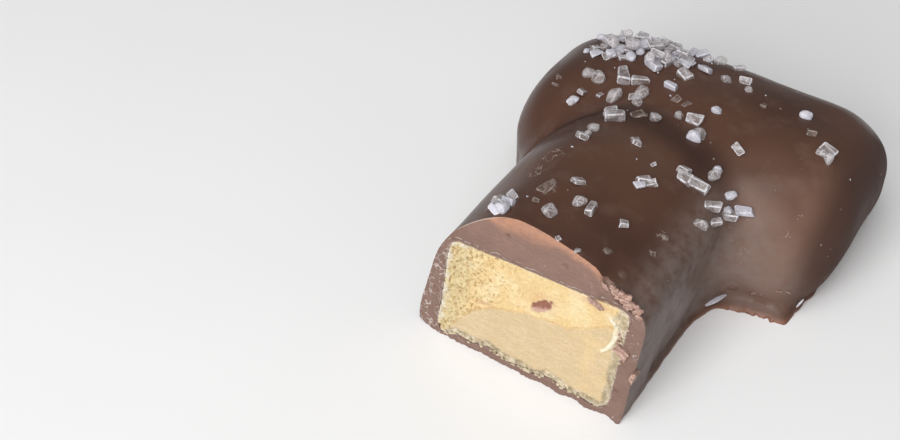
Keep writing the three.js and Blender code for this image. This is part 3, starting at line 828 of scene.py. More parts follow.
# how wide the painted shade along the valley is, in mm
VALLEY_SHADE = 2.6
LEDGE = ((12, 15, 26, 29), (5, 11, 38, 44), (0.5, 1.3, 2.6, 8))     # along X, Y and Z
LEDGE_DEPTH = 0.7       # the wall stands back this much above the foot
DENT = (6.8, 9, 12.8, 15.2)
DENT_DEPTH = 0.9        # the knife pressed the upper right rim in
DENT_REACH = 4.5        # this far behind the cut
DENT_THICKNESS = 2.2
DENT_ABOVE = 12
FINER_FOOT = ((15, 28.1), (20, 35.1), 1.3)      # along X and Y, and up to this height
FINER_CREASE = (-5, 15, 2)      # left of X, behind Y, and so far to each side of the crease


def off_valley(x, y, z):
    """0 where the stem and the crossbar meet, below 0 on the stem's side."""
    return stem(x, y, z) - crossbar(x, y, z)


def on_film_foot(at):
    x, y, z = at.T
    (left, right), (near, far), top = FINER_FOOT
    return (z < top) & (left < x) & (x < right) & (near < y) & (y < far)


def in_left_crease(at):
    x, y, _ = at.T
    right, near, reach = FINER_CREASE
    is_on_skin = np.abs(coat_outside(*at.T)) < SKIN_WITHIN
    return (x < right) & (y > near) & (np.abs(off_valley(*at.T)) < reach) & is_on_skin


make_finer(coat, on_film_foot, 2)
make_finer(coat, in_left_crease, 2)
places = places_of(coat.data)
x, y, z = places.T
write_attribute(coat, "below_skin", -coat_outside(x, y, z))
write_attribute(coat, "off_step", centre_outside(x, y, z) - step_width(x, height_on_cut(places)))
write_attribute(coat, "off_centre", centre_outside(x, y, z))
# in_valley says where shade is painted along the valley in which the stem meets the crossbar; left
# of the stem the painted shade is narrower
from_valley = off_valley(x, y, z)
at_left = rising(x, -4, -9)
shade_width = np.where(from_valley < 0, VALLEY_SHADE, VALLEY_SHADE * (1 - 0.65 * at_left))
write_attribute(coat, "in_valley", np.exp(-(from_valley / shade_width) ** 2))
middles = face_middles(coat.data)
is_skin = np.abs(coat_outside(*middles.T)) < SKIN_WITHIN
facing_knife = face_normals(coat.data) @ (0, -math.cos(CUT_LEAN), math.sin(CUT_LEAN))
is_cut = (depth_behind_cut(middles) < DEEPEST_CUT) & (facing_knife > FACING_KNIFE)
is_base = middles[:, 2] < 0.01
coat.data.materials.append(skin_material())
coat.data.materials.append(cut_chocolate_material())
inside_or_cut = ~is_base & (~is_skin | is_cut)
coat.data.polygons.foreach_set("material_index", inside_or_cut.astype(np.int32))

# The foot ran out unevenly as it set, so its thin edge is ragged. The vertices move one feature at
# a time, and x, y and z always hold where they are.
outward = slope_of(coat_outside, places) * (1, 1, 0)
on_skin = np.abs(coat_outside(x, y, z)) < SKIN_WITHIN
near_base = np.clip(1 - z / LIP_HEIGHT, 0, 1) * on_skin
ragged = LIP_REACH * roughness_at(x, y, LIP_UNEVEN, 5.0)
ragged *= 0.3 + 0.7 * rising(x, 15, 18)
frayed_by, frayed_size = FILM_FRAYED
frayed = frayed_by * np.clip(1 - z / FILM_LIP, 0, 1) * roughness_at(x, y, frayed_size, 6.0)
ragged += window(x, *FILM[0]) * window(y, *FILM[1]) * (FILM_REACH + frayed)
places += outward * (ragged * near_base)[:, None]

from_corner = np.hypot(x - CORNER[0], y - CORNER[1])
off_corner = np.exp(-(from_corner / CORNER_REACH) ** 2) * on_skin
off_corner *= np.clip(1 - z / CORNER_HEIGHT, 0, 1)
places -= outward * (CORNER_DEPTH * off_corner)[:, None]

crease = at_left * on_skin * np.exp(-(from_valley / CREASE_WIDTH) ** 2)
places -= slope_of(coat_outside, places) * (CREASE_DEPTH * crease)[:, None]

on_ledge = window(x, *LEDGE[0]) * window(y, *LEDGE[1]) * window(z, *LEDGE[2])
places -= outward * (LEDGE_DEPTH * on_ledge)[:, None]

pressed = window(x, *DENT) * np.clip(1 - depth_behind_cut(places) / DENT_REACH, 0, 1)
pressed *= np.clip(1 + coat_outside(x, y, z) / DENT_THICKNESS, 0, 1) * (z > DENT_ABOVE)
places -= slope_of(coat_outside, places) * (DENT_DEPTH * pressed)[:, None]
coat.data.vertices.foreach_set("co", places.ravel())
shade(coat, 40)

move_into_frame(coat)
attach(coat, "root")
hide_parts("coating")


# ---- Honeycomb centre --------------------------------------------------------------------------
# Aerated sugar honeycomb, sawn to a block before it was dipped. The knife smeared its lower half
# smooth and pale, and above that it broke away and shows its open golden cells.

SMEAR_LINE = (         # the top of the smeared part: places on the cut
    (-12, 1), (-10, 4.1), (-8.3, 6.2), (-5.6, 7.9),
    (-0.8, 9.5), (5, 10.1), (7.8, 11.8), (10.5, 13.2),
)
SMEAR_EDGE = 0.35
TORN_DEPTH = 0.55
CELL_DEPTH = 0.45
CENTRE_STEP = 0.13
CENTRE_KNIFE = (30, 20)     # width and height
CRUMB_RIM = 1.15
CRUMB_CORNER = 0.6      # the rim is this much wider in the upper right corner
PALE_RIM = 0.8
FLAKE_MIDDLE = (8.3, 12.2)      # the pale flake is an arc round this place on the cut
FLAKE_RADIUS = 3.35
FLAKE_HALF_WIDTH = 0.3
FLAKE_TURNS = (-62, 68)
FLAKE_RISE = 0.35
STAINS = (              # place on the cut and half sizes
    (1.1, 12.1, 1.9, 1.0), (7.6, 15.5, 2.2, 0.6), (-7.4, 7.7, 1.3, 0.35),
)
SMEAR = (1.0, 11.45, 1.6, 1.0)          # the dark smear: its place on the cut and its half sizes
SMEAR_RISE = 0.52
SMEAR_UNEVEN = 0.3


def above_smear(x, height):
    """0 on the smeared lower part of the honeycomb's face, 1 on its torn upper part."""
    line = np.interp(x, *zip(*SMEAR_LINE)) + 0.3 * roughness_at(x, height * 0.2, 1.5, 21.0)
    return np.clip((height - line) / SMEAR_EDGE + 0.5, 0, 1)


def from_honeycomb_edge(x, height):
    """How far inside the edge of the honeycomb's face a place is, unevenly."""
    return -centre_outside(*on_cut(x, height)) + 0.3 * roughness_at(x, height, 1.1, 31.0)


def crumb_rim(x, height):
    """1 on the crumbly rim at the foot and the right of the honeycomb's face, 0 elsewhere."""
    below_top = np.clip((14.5 - height) / 1.5 + 2 * rising(x, 10.5, 11.5), 0, 1)
    right_of_corner = np.clip(x + 13 - height / 2, 0, 1)
    width = CRUMB_RIM + CRUMB_CORNER * rising(x, 9, 11) * rising(height, 9, 11)
    rim = rising(width - from_honeycomb_edge(x, height), 0, 0.4) * below_top * right_of_corner
    behind_flake = 0.2 * rising(x, 11, 11.5) * rising(height, 11.5, 12.5)
    return np.maximum(rim, behind_flake)


def pale_rim(x, height):
    """1 on the smooth whitish sugar along the left of the face, where it isn't broken away."""
    at_left = rising(x, -10.5, -12) * rising(height, -1, 1)
    left_over = np.clip(0.55 + 1.9 * roughness_at(x, height, 1.5, 35.0), 0, 1)
    width = PALE_RIM + 0.7 * roughness_at(x, height, 0.8, 36.0)
    return rising(width - from_honeycomb_edge(x, height), 0, 0.35) * at_left * left_over


def pale_flake(x, height):
    """1 along the thin curved flake at the right of the face, 0 elsewhere."""
    from_x, from_height = x - FLAKE_MIDDLE[0], height - FLAKE_MIDDLE[1]
    off_arc = np.abs(np.hypot(from_x, from_height) - FLAKE_RADIUS)
    turn = np.degrees(np.arctan2(from_height, from_x))
    first, last = FLAKE_TURNS
    on_arc = rising(turn, first, first + 12) * rising(turn, last, last - 25)
    half_width = FLAKE_HALF_WIDTH * (1 + 0.35 * roughness_at(x, height, 1.6, 37.0))
    return np.clip(1.6 - off_arc / half_width, 0, 1) * on_arc


def stained(x, height):
    """Up to 1 where the knife smeared a little melted chocolate over the honeycomb."""
    stain = np.zeros_like(x)
    for spot_x, spot_height, half_width, half_height in STAINS:
        off = ((x - spot_x) / half_width) ** 2 + ((height - spot_height) / half_height) ** 2
        stain = np.maximum(stain, np.exp(-off))
    return stain * np.clip(0.8 + 0.8 * roughness_at(x * 0.5, height, 0.5, 39.0), 0, 1)


def dark_smear(x, height):
    """1 in the smear of chocolate that the knife left, and 1 in its dark upper part alone."""
    middle_x, middle_height, half_width, half_height = SMEAR
    from_x = (x - middle_x) / half_width
    from_height = (height - middle_height - SMEAR_RISE * (x - middle_x)) / half_height
    uneven = SMEAR_UNEVEN * roughness_at(x, height, 0.5, 43.0)
    inside = rising(1 - np.hypot(from_x, from_height) + uneven, 0, 0.25)
    return inside, inside * rising(from_height + uneven, -0.35, -0.05)


def torn_cells(x, height):
    """0 on the cell walls of the torn honeycomb, up to about 1 at the bottom of its cells."""
    more_at_left = 0.08 * rising(x, -6, -10)
    small = np.clip(roughness_at(x, height, 0.34, 51.0) - 0.08 + more_at_left, 0, 1)
    large = np.clip(roughness_at(x, height * 1.2, 0.75, 55.0) - 0.25, 0, 1)
    less_at_right = np.clip((2 - x) / 10, 0.25, 1)
    return np.clip((1.5 * small + 1.5 * large) * less_at_right, 0, 1)


def honeycomb_relief(x, height):
    """How deep the knife and the tearing left the honeycomb's face."""
    torn = above_smear(x, height)
    crags = np.clip(0.45 + 0.75 * roughness_at(x * 0.8, height * 1.5, 3.0, 41.0), 0, 1.2)
    walls = roughness_at(x * 0.6, height, 0.3, 61.0)
    depth = torn * (TORN_DEPTH * crags + CELL_DEPTH * torn_cells(x, height) + 0.10 * walls)
    depth += (1 - torn) * (0.05 * roughness_at(x * 0.22, height, 0.4, 71.0) + 0.03)
    depth += crumb_rim(x, height) * (0.15 + 0.28 * roughness_at(x, height, 0.5, 81.0))
    depth *= 1 - 0.7 * pale_rim(x, height)
    inside, dark = dark_smear(x, height)
    return depth - FLAKE_RISE * pale_flake(x, height) + 0.25 * dark - 0.12 * (inside - dark)


def honeycomb_material():
    """Golden torn cells above, pale smeared sugar below, and a greyish crumbly rim with painted
    shadow toward its foot.
    """
    material, tree, shader, place = new_material("honeycomb")
    golden = (0.66, 0.485, 0.240, 1)
    light = (0.70, 0.565, 0.330, 1)
    darker_in_cells = (0.48, 0.31, 0.135, 1)
    orange = (0.60, 0.385, 0.160, 1)
    olive = (0.50, 0.42, 0.24, 1)
    smeared = (0.535, 0.405, 0.235, 1)
    streak = (0.60, 0.475, 0.300, 1)
    crumb = (0.36, 0.285, 0.170, 1)
    grain = (0.55, 0.450, 0.300, 1)
    white = (0.72, 0.68, 0.58, 1)
    stain = (0.44, 0.205, 0.105, 1)
    smear = (0.260, 0.105, 0.068, 1)
    smear_rim = (0.520, 0.325, 0.260, 1)
    cream = (0.76, 0.67, 0.48, 1)
    silvery = (0.64, 0.60, 0.53, 1)
    # painted shadow in the crumbly rim
    painted_rim_shadow = (0.240, 0.185, 0.110, 1)
    torn = attribute(tree, "torn")
    cells = attribute(tree, "cells")
    inside_edge = attribute(tree, "inside_edge")
    flake = attribute(tree, "flake")
    x, _, z = axes_of(tree, place)
    broad = from_group(tree, patches, place, size=3.5, detail=3, start=0.4, end=0.65)
    fine = from_group(tree, patches, place, size=0.35, detail=3, start=0.4, end=0.65)
    toasted = from_group(tree, patches, place, size=2.6, detail=3, start=0.58, end=0.75)
    clumped = from_group(tree, patches, place, size=0.9, detail=3, start=0.46, end=0.6)
    # patches that break up the painted shadow in the rim
    shadow_patches = from_group(tree, patches, place, size=1.3, detail=3, start=0.42, end=0.56)
    frayed = from_group(tree, patches, place, size=1.6, detail=2, start=0.38, end=0.5)
    drawn_out = stretched(tree, place, 0.2)
    drawn = from_group(tree, patches, drawn_out, size=0.45, detail=2, start=0.4, end=0.7)
    upper = layered(
        tree, mixed(tree, broad, golden, light),
        (orange, toasted, 0.55),
        (olive, along(tree, x, -10.5, -14.5), 0.6),
        # darker towards the bottom of the cells
        (darker_in_cells, ramped(tree, cells, 0.1, 0.8, 0, 0.62)),
    )
    lower = layered(
        tree, smeared,
        (streak, drawn, 0.6),
        (golden, broad, along(tree, x, -3, 6), 0.5),
    )
    bits = layered(
        tree, grain,
        (white, fine, 0.5),
        (crumb, clumped, 0.75),
        # painted shadow: the rim darker inside its edge, most toward the foot of the face
        (
            painted_rim_shadow, shadow_patches, ramped(tree, inside_edge, 0.25, 0.7),
            along(tree, z, 13, 10, 0.15, 1), 0.7,
        ),
        # painted shadow in the rim's lower right
        (painted_rim_shadow, along(tree, x, 6, 8.5), along(tree, z, 10, 7), 0.35),
    )
    colour = layered(
        tree, lower,
        (upper, torn),
        (orange, torn, calculated(tree, "SUBTRACT", 1.0, torn), 3.2, 0.5),
        (bits, attribute(tree, "rim")),
        (white, ramped(tree, inside_edge, 0.2, 0.06), frayed, along(tree, z, 11, 14, 0.5, 0.15)),
        (silvery, attribute(tree, "pale"), 0.8),
        (cream, flake, 0.8),
        (white, ramped(tree, flake, 0.55, 0.95), frayed, 0.45),
        (stain, attribute(tree, "stained"), 0.6),
        (smear_rim, attribute(tree, "in_smear")),
        (smear, attribute(tree, "dark_smear")),
    )
    relief = calculated(tree, "ADD", times(tree, drawn, 0.4), fine)
    fill_inputs(tree, shader, {
        "Base Color": colour,
        "Roughness": 0.75,
        "IOR": 1.5,
        "Subsurface Weight": 0.15,
        "Subsurface Radius": (0.0012, 0.0008, 0.0004),
        "Subsurface Scale": 0.5,
        "Normal": bumped(tree, relief, 0.08),
    })
    return material


centre = moulded(
    "honeycomb_centre", ended_beyond_cut(centre_outside), CENTRE_BLOCKS, HOLLOW_STEP
)
cut_away(centre, knife("honeycomb knife", *CENTRE_KNIFE, CENTRE_STEP, honeycomb_relief))
places = places_of(centre.data)
across, up = places[:, 0], height_on_cut(places)
inside, dark = dark_smear(across, up)
for name, values in (
    ("torn", above_smear(across, up)), ("rim", crumb_rim(across, up)),
    ("pale", pale_rim(across, up)), ("flake", pale_flake(across, up)),
    ("cells", torn_cells(across, up)), ("stained", stained(across, up)),
    ("inside_edge", from_honeycomb_edge(across, up)),
    ("in_smear", inside), ("dark_smear", dark),
):
    write_attribute(centre, name, values)
centre.data.materials.append(honeycomb_material())
shade(centre, 50)
move_into_frame(centre)
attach(centre, "root")
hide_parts("filling")

CRUMBS = 80
CRUMBS_AT_RIGHT = 4     # one in so many lies along the right edge, and the others along the foot
CRUMBS_ALONG_FOOT = (-12.8, 12.2)   # X at the left and at the right
CRUMBS_UP_RIGHT = (2, 15)           # height at the foot and at the top
CRUMBS_INSET = (0.1, 0.15)          # from the honeycomb's right edge and from its foot
CRUMBS_BEHIND_CUT = 0.3
CRUMBS_SEED = 41
CRUMB_SIZE = (0.1, 0.26)
CRUMB_LENGTH = 1.4      # in parts of its size
CRUMB_SPREAD = 0.5
CRUMB_JITTER = 0.05
CRUMB_EDGE = 0.3        # their colour is the rim's, this far inside the honeycomb's edge


def within(bounds, share):
    """A value between two bounds, at a share of the way from the first to the second."""
    return bounds[0] + (bounds[1] - bounds[0]) * share


loose = bmesh.new()
draw = draws_from(CRUMBS_SEED)
for index in range(CRUMBS):
    along_edge = next(draw)
    if index % CRUMBS_AT_RIGHT:
        x = within(CRUMBS_ALONG_FOOT, along_edge)
        height = CENTRE_BOTTOM + CRUMBS_INSET[1] + float(uneven_foot(x, CRUMBS_BEHIND_CUT))
    else:
        x = CENTRE_STEM[1] - CRUMBS_INSET[0]
        height = within(CRUMBS_UP_RIGHT, along_edge)
    size = within(CRUMB_SIZE, next(draw) ** 2)
    at = on_cut(x + CRUMB_SPREAD * (next(draw) - 0.5), height + CRUMB_SPREAD * (next(draw) - 0.5))
    matrix = Matrix.Translation(at) @ Matrix.Diagonal((size * CRUMB_LENGTH, size, size, 1))
    bmesh.ops.create_icosphere(loose, subdivisions=1, radius=1, matrix=matrix)
for vertex in loose.verts:
    vertex.co += Vector([(next(draw) - 0.5) * CRUMB_JITTER for _ in range(3)])
honeycomb_crumbs = put_in_scene(loose, "honeycomb_crumbs")
count = len(honeycomb_crumbs.data.vertices)
write_attribute(honeycomb_crumbs, "rim", np.ones(count))
write_attribute(honeycomb_crumbs, "inside_edge", np.full(count, CRUMB_EDGE))
honeycomb_crumbs.data.materials.append(centre.data.materials[0])
shade(honeycomb_crumbs, 35)
move_into_frame(honeycomb_crumbs)
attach(honeycomb_crumbs, "root")


# ---- Salt --------------------------------------------------------------------------------------
# Coarse sea salt, strewn by hand while the coat was wet, so that each grain is set in it a little.
# Most grains are clear chunks and blocks. Some are frosted, and a few sank and took on the brown.

CLEAR, FROSTED, SUNK = "clear", "frosted", "sunk"
SALT_DRIFTS = (     # name, middle, spread to both sides, count, crystal size, kinds by turns
    ("pile on the far edge", (-8.6, 49.6), (6.9, 4), 38, 2, (CLEAR, FROSTED, CLEAR)),
    ("far edge, right of the pile", (1, 53.6), (4.4, 0.8), 5, 2, (CLEAR, FROSTED)),
    ("left of the pile", (-15, 45.2), (1.7, 1.7), 4, 1.8, (CLEAR, FROSTED)),
    ("left lobe, pair", (-12.7, 39.4), (1.3, 0.6), 2, 2.2, (CLEAR,)),
    ("left lobe, strays", (-11.7, 36), (2.7, 0.6), 2, 1.6, (CLEAR,)),
    ("left lobe, near", (-12.7, 33.5), (0.6, 0.3), 2, 2, (CLEAR, FROSTED)),
    ("left lobe, sunk", (-17.1, 36.2), (0.2, 2.4), 2, 1.5, (SUNK,)),
    ("before the pile, upright", (-8.7, 41.1), (0, 0), 1, 2.6, (CLEAR,)),
    ("long grain", (-5.8, 41.2), (0, 0), 1, 3.8, (CLEAR,)),
    ("big grain before the pile", (-6, 45.5), (0, 0), 1, 3.1, (FROSTED,)),
    ("crossbar, below the big grain", (-1.2, 45.9), (0, 0), 1, 2.1, (CLEAR,)),
    ("big grain on the middle", (0.5, 49.4), (0, 0), 1, 2.9, (FROSTED,)),
    ("crossbar, frosted single", (-1.6, 42.5), (0, 0), 1, 2.1, (FROSTED,)),
    ("crossbar, far right", (5.8, 49.4), (2.6, 2.8), 3, 1.8, (CLEAR,)),
    ("valley, left", (-7.4, 36.5), (0, 0), 1, 2.5, (CLEAR,)),
    ("valley, middle", (-4.4, 37.6), (1.2, 1.2), 3, 2.2, (CLEAR,)),
    ("stem nose", (-5.4, 31.8), (0.8, 1.3), 3, 2.5, (CLEAR,)),
    ("valley, pair", (-2.6, 34.4), (1.1, 0.5), 2, 1.8, (SUNK,)),
    ("valley, right", (2.4, 37.2), (0, 0), 1, 2.3, (CLEAR,)),
    ("crossbar, sunk", (1.5, 39.7), (1.6, 0.9), 2, 1.5, (SUNK,)),
    ("crossbar, small", (6.1, 41), (0, 0), 1, 1.4, (FROSTED,)),
    ("crossbar, right sunk", (11.1, 46.1), (0, 0), 1, 1.8, (SUNK,)),
    ("right lobe, far", (16.7, 47.7), (0, 0), 1, 2.3, (FROSTED,)),
    ("right lobe, far flat", (18.8, 44.9), (0, 0), 1, 1.8, (SUNK,)),
    ("stem ridge, far", (-5.8, 26.1), (0.5, 1.8), 3, 2, (CLEAR,)),
    ("stem nose, right", (0.2, 28), (0.3, 1.1), 2, 1.6, (CLEAR,)),
    ("crossbar, centre", (6.2, 35), (0.3, 1.5), 2, 2.2, (CLEAR, FROSTED)),
    ("crossbar, single", (11.9, 36.1), (0, 0), 1, 2.9, (CLEAR,)),
    ("right lobe, chunk", (22.2, 41.4), (1.4, 0.7), 3, 2.2, (CLEAR,)),
    ("stem shoulder", (8.9, 27.1), (1.8, 1.8), 3, 2.3, (CLEAR,)),
    ("above the corner", (11.1, 30.8), (0.3, 0.9), 2, 2, (CLEAR, FROSTED)),
    ("corner cluster, left", (13.1, 25.9), (0, 0), 1, 2.6, (CLEAR,)),
    ("stem edge", (13.4, 21.9), (0, 0), 1, 2.2, (CLEAR,)),
    ("stem, three together", (4.9, 21.2), (1.1, 0.9), 3, 1.9, (CLEAR, FROSTED)),
    ("stem, small", (4.2, 25.7), (0, 0), 1, 1, (CLEAR,)),
    ("stem, upper left", (-1.6, 15.6), (0, 0), 1, 1.8, (CLEAR,)),
    ("stem, sunk pair", (-4.8, 13.4), (0.7, 1), 2, 1.9, (SUNK,)),
    ("stem, left", (-4.6, 10.2), (0, 0), 1, 1.8, (SUNK,)),
    ("stem, middle", (1.4, 12.4), (1.3, 0.5), 2, 2, (CLEAR,)),
    ("stem, flat", (-2.1, 8.8), (0, 0), 1, 2.3, (CLEAR,)),
    ("stem, right", (6.2, 13.5), (0, 0), 1, 2.2, (CLEAR,)),
    ("stem, right sunk", (6.9, 8.5), (0, 0), 1, 2, (SUNK,)),
    ("stem, far right sunk", (10.8, 14.2), (0.3, 2.6), 2, 1.3, (SUNK,)),
    ("stem, near the cut", (2.4, 5.7), (3.6, 0.1), 2, 0.9, (CLEAR,)),
    ("beside the cut", (-7.9, 8), (1, 2.1), 5, 2.3, (FROSTED, CLEAR)),
    ("valley, single", (-0.1, 34.8), (0, 0), 1, 2, (CLEAR,)),
    ("valley, far right", (4.4, 37.7), (0, 0), 1, 2, (CLEAR,)),
    ("corner cluster, middle", (14.8, 27.9), (0.4, 0.4), 2, 2.3, (FROSTED, CLEAR)),
    ("corner cluster, right", (16.5, 29.4), (0, 0), 1, 2.4, (FROSTED,)),
    ("corner cluster, far", (14.1, 29.7), (0, 0), 1, 1.8, (FROSTED,)),
    ("corner cluster, near", (14.3, 24.5), (0, 0), 1, 2.1, (CLEAR,)),
    ("pile, near left", (-11.8, 45.4), (2.2, 1.1), 6, 1.9, (CLEAR, FROSTED)),
    ("pile, far left", (-15.2, 49.6), (1.4, 1.3), 5, 1.8, (CLEAR, FROSTED)),
    ("pile, near right", (-4.2, 48.3), (1.9, 0.9), 4, 1.9, (FROSTED, CLEAR)),
    ("pile, far side", (-8.4, 53.3), (5.2, 0.7), 7, 2.1, (FROSTED, CLEAR)),
)
PILED = "pile on the far edge"
SLIM, SLIM_TURN, SLIM_SHARE = "long grain", math.radians(32), 0.42
SALT_SIZE_SPREAD = 0.3
SALT_WIDTH, SALT_HEIGHT = (0.75, 1), (0.6, 0.9)     # at least and at most, in parts of the length
SALT_JITTER = 0.13
SALT_TIP = 1.6          # how far a grain may be tipped over, from one side to the other
SALT_PROUD = {CLEAR: 0.12, FROSTED: 0.12, SUNK: -0.12}
PILE_LIFT = 0.35
PILE_LAYER = 3
GOLDEN_ANGLE = 2.39996
ANGLE_SPREAD = 0.8
CHUNK_SHARE = 0.4
BLOCK_SIZE = (0.95, 0.7, 0.6)
CHUNK_BEVEL, BLOCK_BEVEL = 0.09, 0.13
BLUNT_EDGE, SHARP_EDGE = 24, 58     # in degrees
LOWEST_TOP = STEM_TOP / 4           # where there is no coat, its top is taken to be here


def top_of_coat(x, y):
    """The point on the coat straight above a place."""
    low, high = LOWEST_TOP, STEM_TOP + SPARE
    while high - low > 0.01:
        middle = (low + high) / 2
        if coat_outside(x, y, middle) < 0:
            low = middle
        else:
            high = middle
    return Vector((x, y, low))


def spot_on_coat(at, from_x, from_y, turn):
    """The point on the coat in a direction from a place, this far along X and along Y."""
    return top_of_coat(at[0] + from_x * math.cos(turn), at[1] + from_y * math.sin(turn))


def outward_of_coat(place):
    return Vector(slope_of(coat_outside, np.array([place]))[0]).normalized()


def merge_into(bm, piece):
    """Adds a finished small mesh to a larger one, and frees it."""
    mesh = bpy.data.meshes.new("part")
    piece.to_mesh(mesh)
    piece.free()
    bm.from_mesh(mesh)
    bpy.data.meshes.remove(mesh)


def round_edges(bm, width, segments=2):
    """Bevels all edges, and gives what that made."""
    return bmesh.ops.bevel(
        bm, geom=bm.edges[:], offset=width, offset_type="OFFSET", segments=segments, profile=0.5,
        affect="EDGES", material=-1, clamp_overlap=True,
    )


def wear_and_sheen_of(angle):
    """0 along a blunt edge, which stays clear, and up to 1 along a sharp one."""
    return float(rising(math.degrees(angle), BLUNT_EDGE, SHARP_EDGE))


def add_crystal(bm, size, place, draw, is_slim=False):
    """A chunk or a block of salt with uneven corners. Its sharp, worn edges are marked to be
    frosted white, partly as a painted highlight on the rims.
    """
    lump = bmesh.new()
    wear_and_sheen = lump.verts.layers.float.new("wear_and_sheen")
    is_chunk = next(draw) < CHUNK_SHARE and not is_slim
    if is_chunk:
        bmesh.ops.create_icosphere(lump, subdivisions=1, radius=0.5)
    else:
        bmesh.ops.create_cube(lump, size=1, matrix=Matrix.Diagonal((*BLOCK_SIZE, 1)))
    for vertex in lump.verts:
        vertex.co += Vector([(next(draw) * 2 - 1) * SALT_JITTER for _ in range(3)])
    if is_slim:
        width, height = (size * SLIM_SHARE / side for side in BLOCK_SIZE[1:])
        turned, tipped = Matrix.Rotation(SLIM_TURN, 4, "Z"), Matrix.Identity(4)
    else:
        width = size * within(SALT_WIDTH, next(draw))
        height = size * within(SALT_HEIGHT, next(draw))
        turned = Matrix.Rotation(next(draw) * 2 * math.pi, 4, "Z")
        tipped = Matrix.Rotation((next(draw) - 0.5) * SALT_TIP, 4, "X")
    for vertex in lump.verts:
        vertex[wear_and_sheen] = max(wear_and_sheen_of(edge.calc_face_angle(0)) for edge in vertex.link_edges)
    corner_wear_and_sheen = [(vertex.co.copy(), vertex[wear_and_sheen]) for vertex in lump.verts]
    bevelled = set(round_edges(lump, CHUNK_BEVEL if is_chunk else BLOCK_BEVEL, 3)["faces"])
    for vertex in lump.verts:
        on_edge = all(face in bevelled for face in vertex.link_faces)
        nearest = min(corner_wear_and_sheen, key=lambda corner: (corner[0] - vertex.co).length)
        vertex[wear_and_sheen] = nearest[1] * on_edge
    matrix = Matrix.Translation(place) @ tipped @ turned @ Matrix.Diagonal((size, width, height, 1))
    bmesh.ops.transform(lump, matrix=matrix, verts=lump.verts)
    merge_into(bm, lump)


def salt_material(kind, body, edges, solidity, roughness):
    """Salt that lets the chocolate show through its faces. Its worn edges are frosted white, partly
    as a painted highlight on the rims.
    """
    material, tree, shader, place = new_material("salt_" + kind)
    milky = from_group(tree, patches, place, size=1.2, detail=2, start=0.4, end=0.65)
    frosting = from_group(tree, patches, place, size=0.4, detail=2, start=0.4, end=0.7)
    patchy = from_group(tree, patches, place, size=0.7, detail=2, start=0.25, end=0.55)
    wear_and_sheen = times(tree, ramped(tree, attribute(tree, "wear_and_sheen"), 0.1, 0.9), patchy)
    # frost, milky patches and a painted highlight on the rims
    frosted = calculated(tree, "MAXIMUM", wear_and_sheen, times(tree, milky, 0.5))
    fill_inputs(tree, shader, {
        "Base Color": mixed(tree, frosted, body, edges),
        "Roughness": calculated(tree, "ADD", times(tree, frosting, 0.2), roughness),
        "IOR": 1.54,
        "Alpha": ramped(tree, frosted, 0, 1, solidity, 0.6 + 0.4 * solidity),
        "Normal": bumped(tree, frosting, 0.03),
    })
    return material


salt = {kind: bmesh.new() for kind in (CLEAR, FROSTED, SUNK)}
for bm in salt.values():
    bm.verts.layers.float.new("wear_and_sheen")
for drift_index, (drift, at, spread, count, usual_size, kinds) in enumerate(SALT_DRIFTS):
    for index in range(count):
        draw = draws_from(drift_index * 100 + index)
        angle = index * GOLDEN_ANGLE + drift_index + next(draw) * ANGLE_SPREAD
        reach = math.sqrt((index + 0.5) / count)
        size = usual_size * (1 + (next(draw) * 2 - 1) * SALT_SIZE_SPREAD)
        place = spot_on_coat(at, spread[0] * reach, spread[1] * reach, angle)
        kind = kinds[index % len(kinds)]
        place += outward_of_coat(place) * size * SALT_PROUD[kind]
        if drift == PILED and index % PILE_LAYER == 0:
            place.z += size * PILE_LIFT
        add_crystal(salt[kind], size, place, draw, drift == SLIM)

SALT_DUST = (0.18, 0.42)    # the smallest and largest of the fine grains beside the others
DUST_SHARE = 0.25           # how many there are to each crystal
DUST_REACH = (1.2, 3.8)     # how far beyond its drift a fine grain lies, at least and at most
DUST_SEED = 9000
for drift_index, (_, at, spread, count, _, _) in enumerate(SALT_DRIFTS):
    draw = draws_from(DUST_SEED + drift_index)
    for _ in range(round(count * DUST_SHARE)):
        turn = next(draw) * 2 * math.pi
        reach = within(DUST_REACH, next(draw))
        size = within(SALT_DUST, next(draw) ** 2)
        place = spot_on_coat(at, spread[0] + reach, spread[1] + reach, turn)
        if place.z > LOWEST_TOP + 1:
            add_crystal(salt[FROSTED], size, place, draw)

SLIVERS = (         # thin splinters by the foot: both ends and half the thickness
    ((15.75, 23.4, 1.6), (17.4, 26.4, 2.1), 0.27), ((26.3, 30.3, 1.4), (26.8, 31.1, 2.6), 0.13),
)
SLIVER_TAPER = 0.6
SLIVER_FLATNESS = 0.75
for near_end, far_end, half_thickness in SLIVERS:
    half_way = (Vector(far_end) - Vector(near_end)) / 2
    sliver = bmesh.new()
    bmesh.ops.create_cube(sliver, size=2)
    bmesh.ops.subdivide_edges(sliver, edges=sliver.edges[:], cuts=3, use_grid_fill=True)
    for vertex in sliver.verts:
        vertex.co.yz *= 1 - SLIVER_TAPER * vertex.co.x ** 2
    turned = half_way.to_track_quat("X", "Z").to_matrix().to_4x4()
    sizes = (half_way.length, half_thickness, half_thickness * SLIVER_FLATNESS)
    matrix = Matrix.Translation(Vector(near_end) + half_way) @ turned @ Matrix.Diagonal((*sizes, 1))
    bmesh.ops.transform(sliver, matrix=matrix, verts=sliver.verts)
    merge_into(salt[FROSTED], sliver)

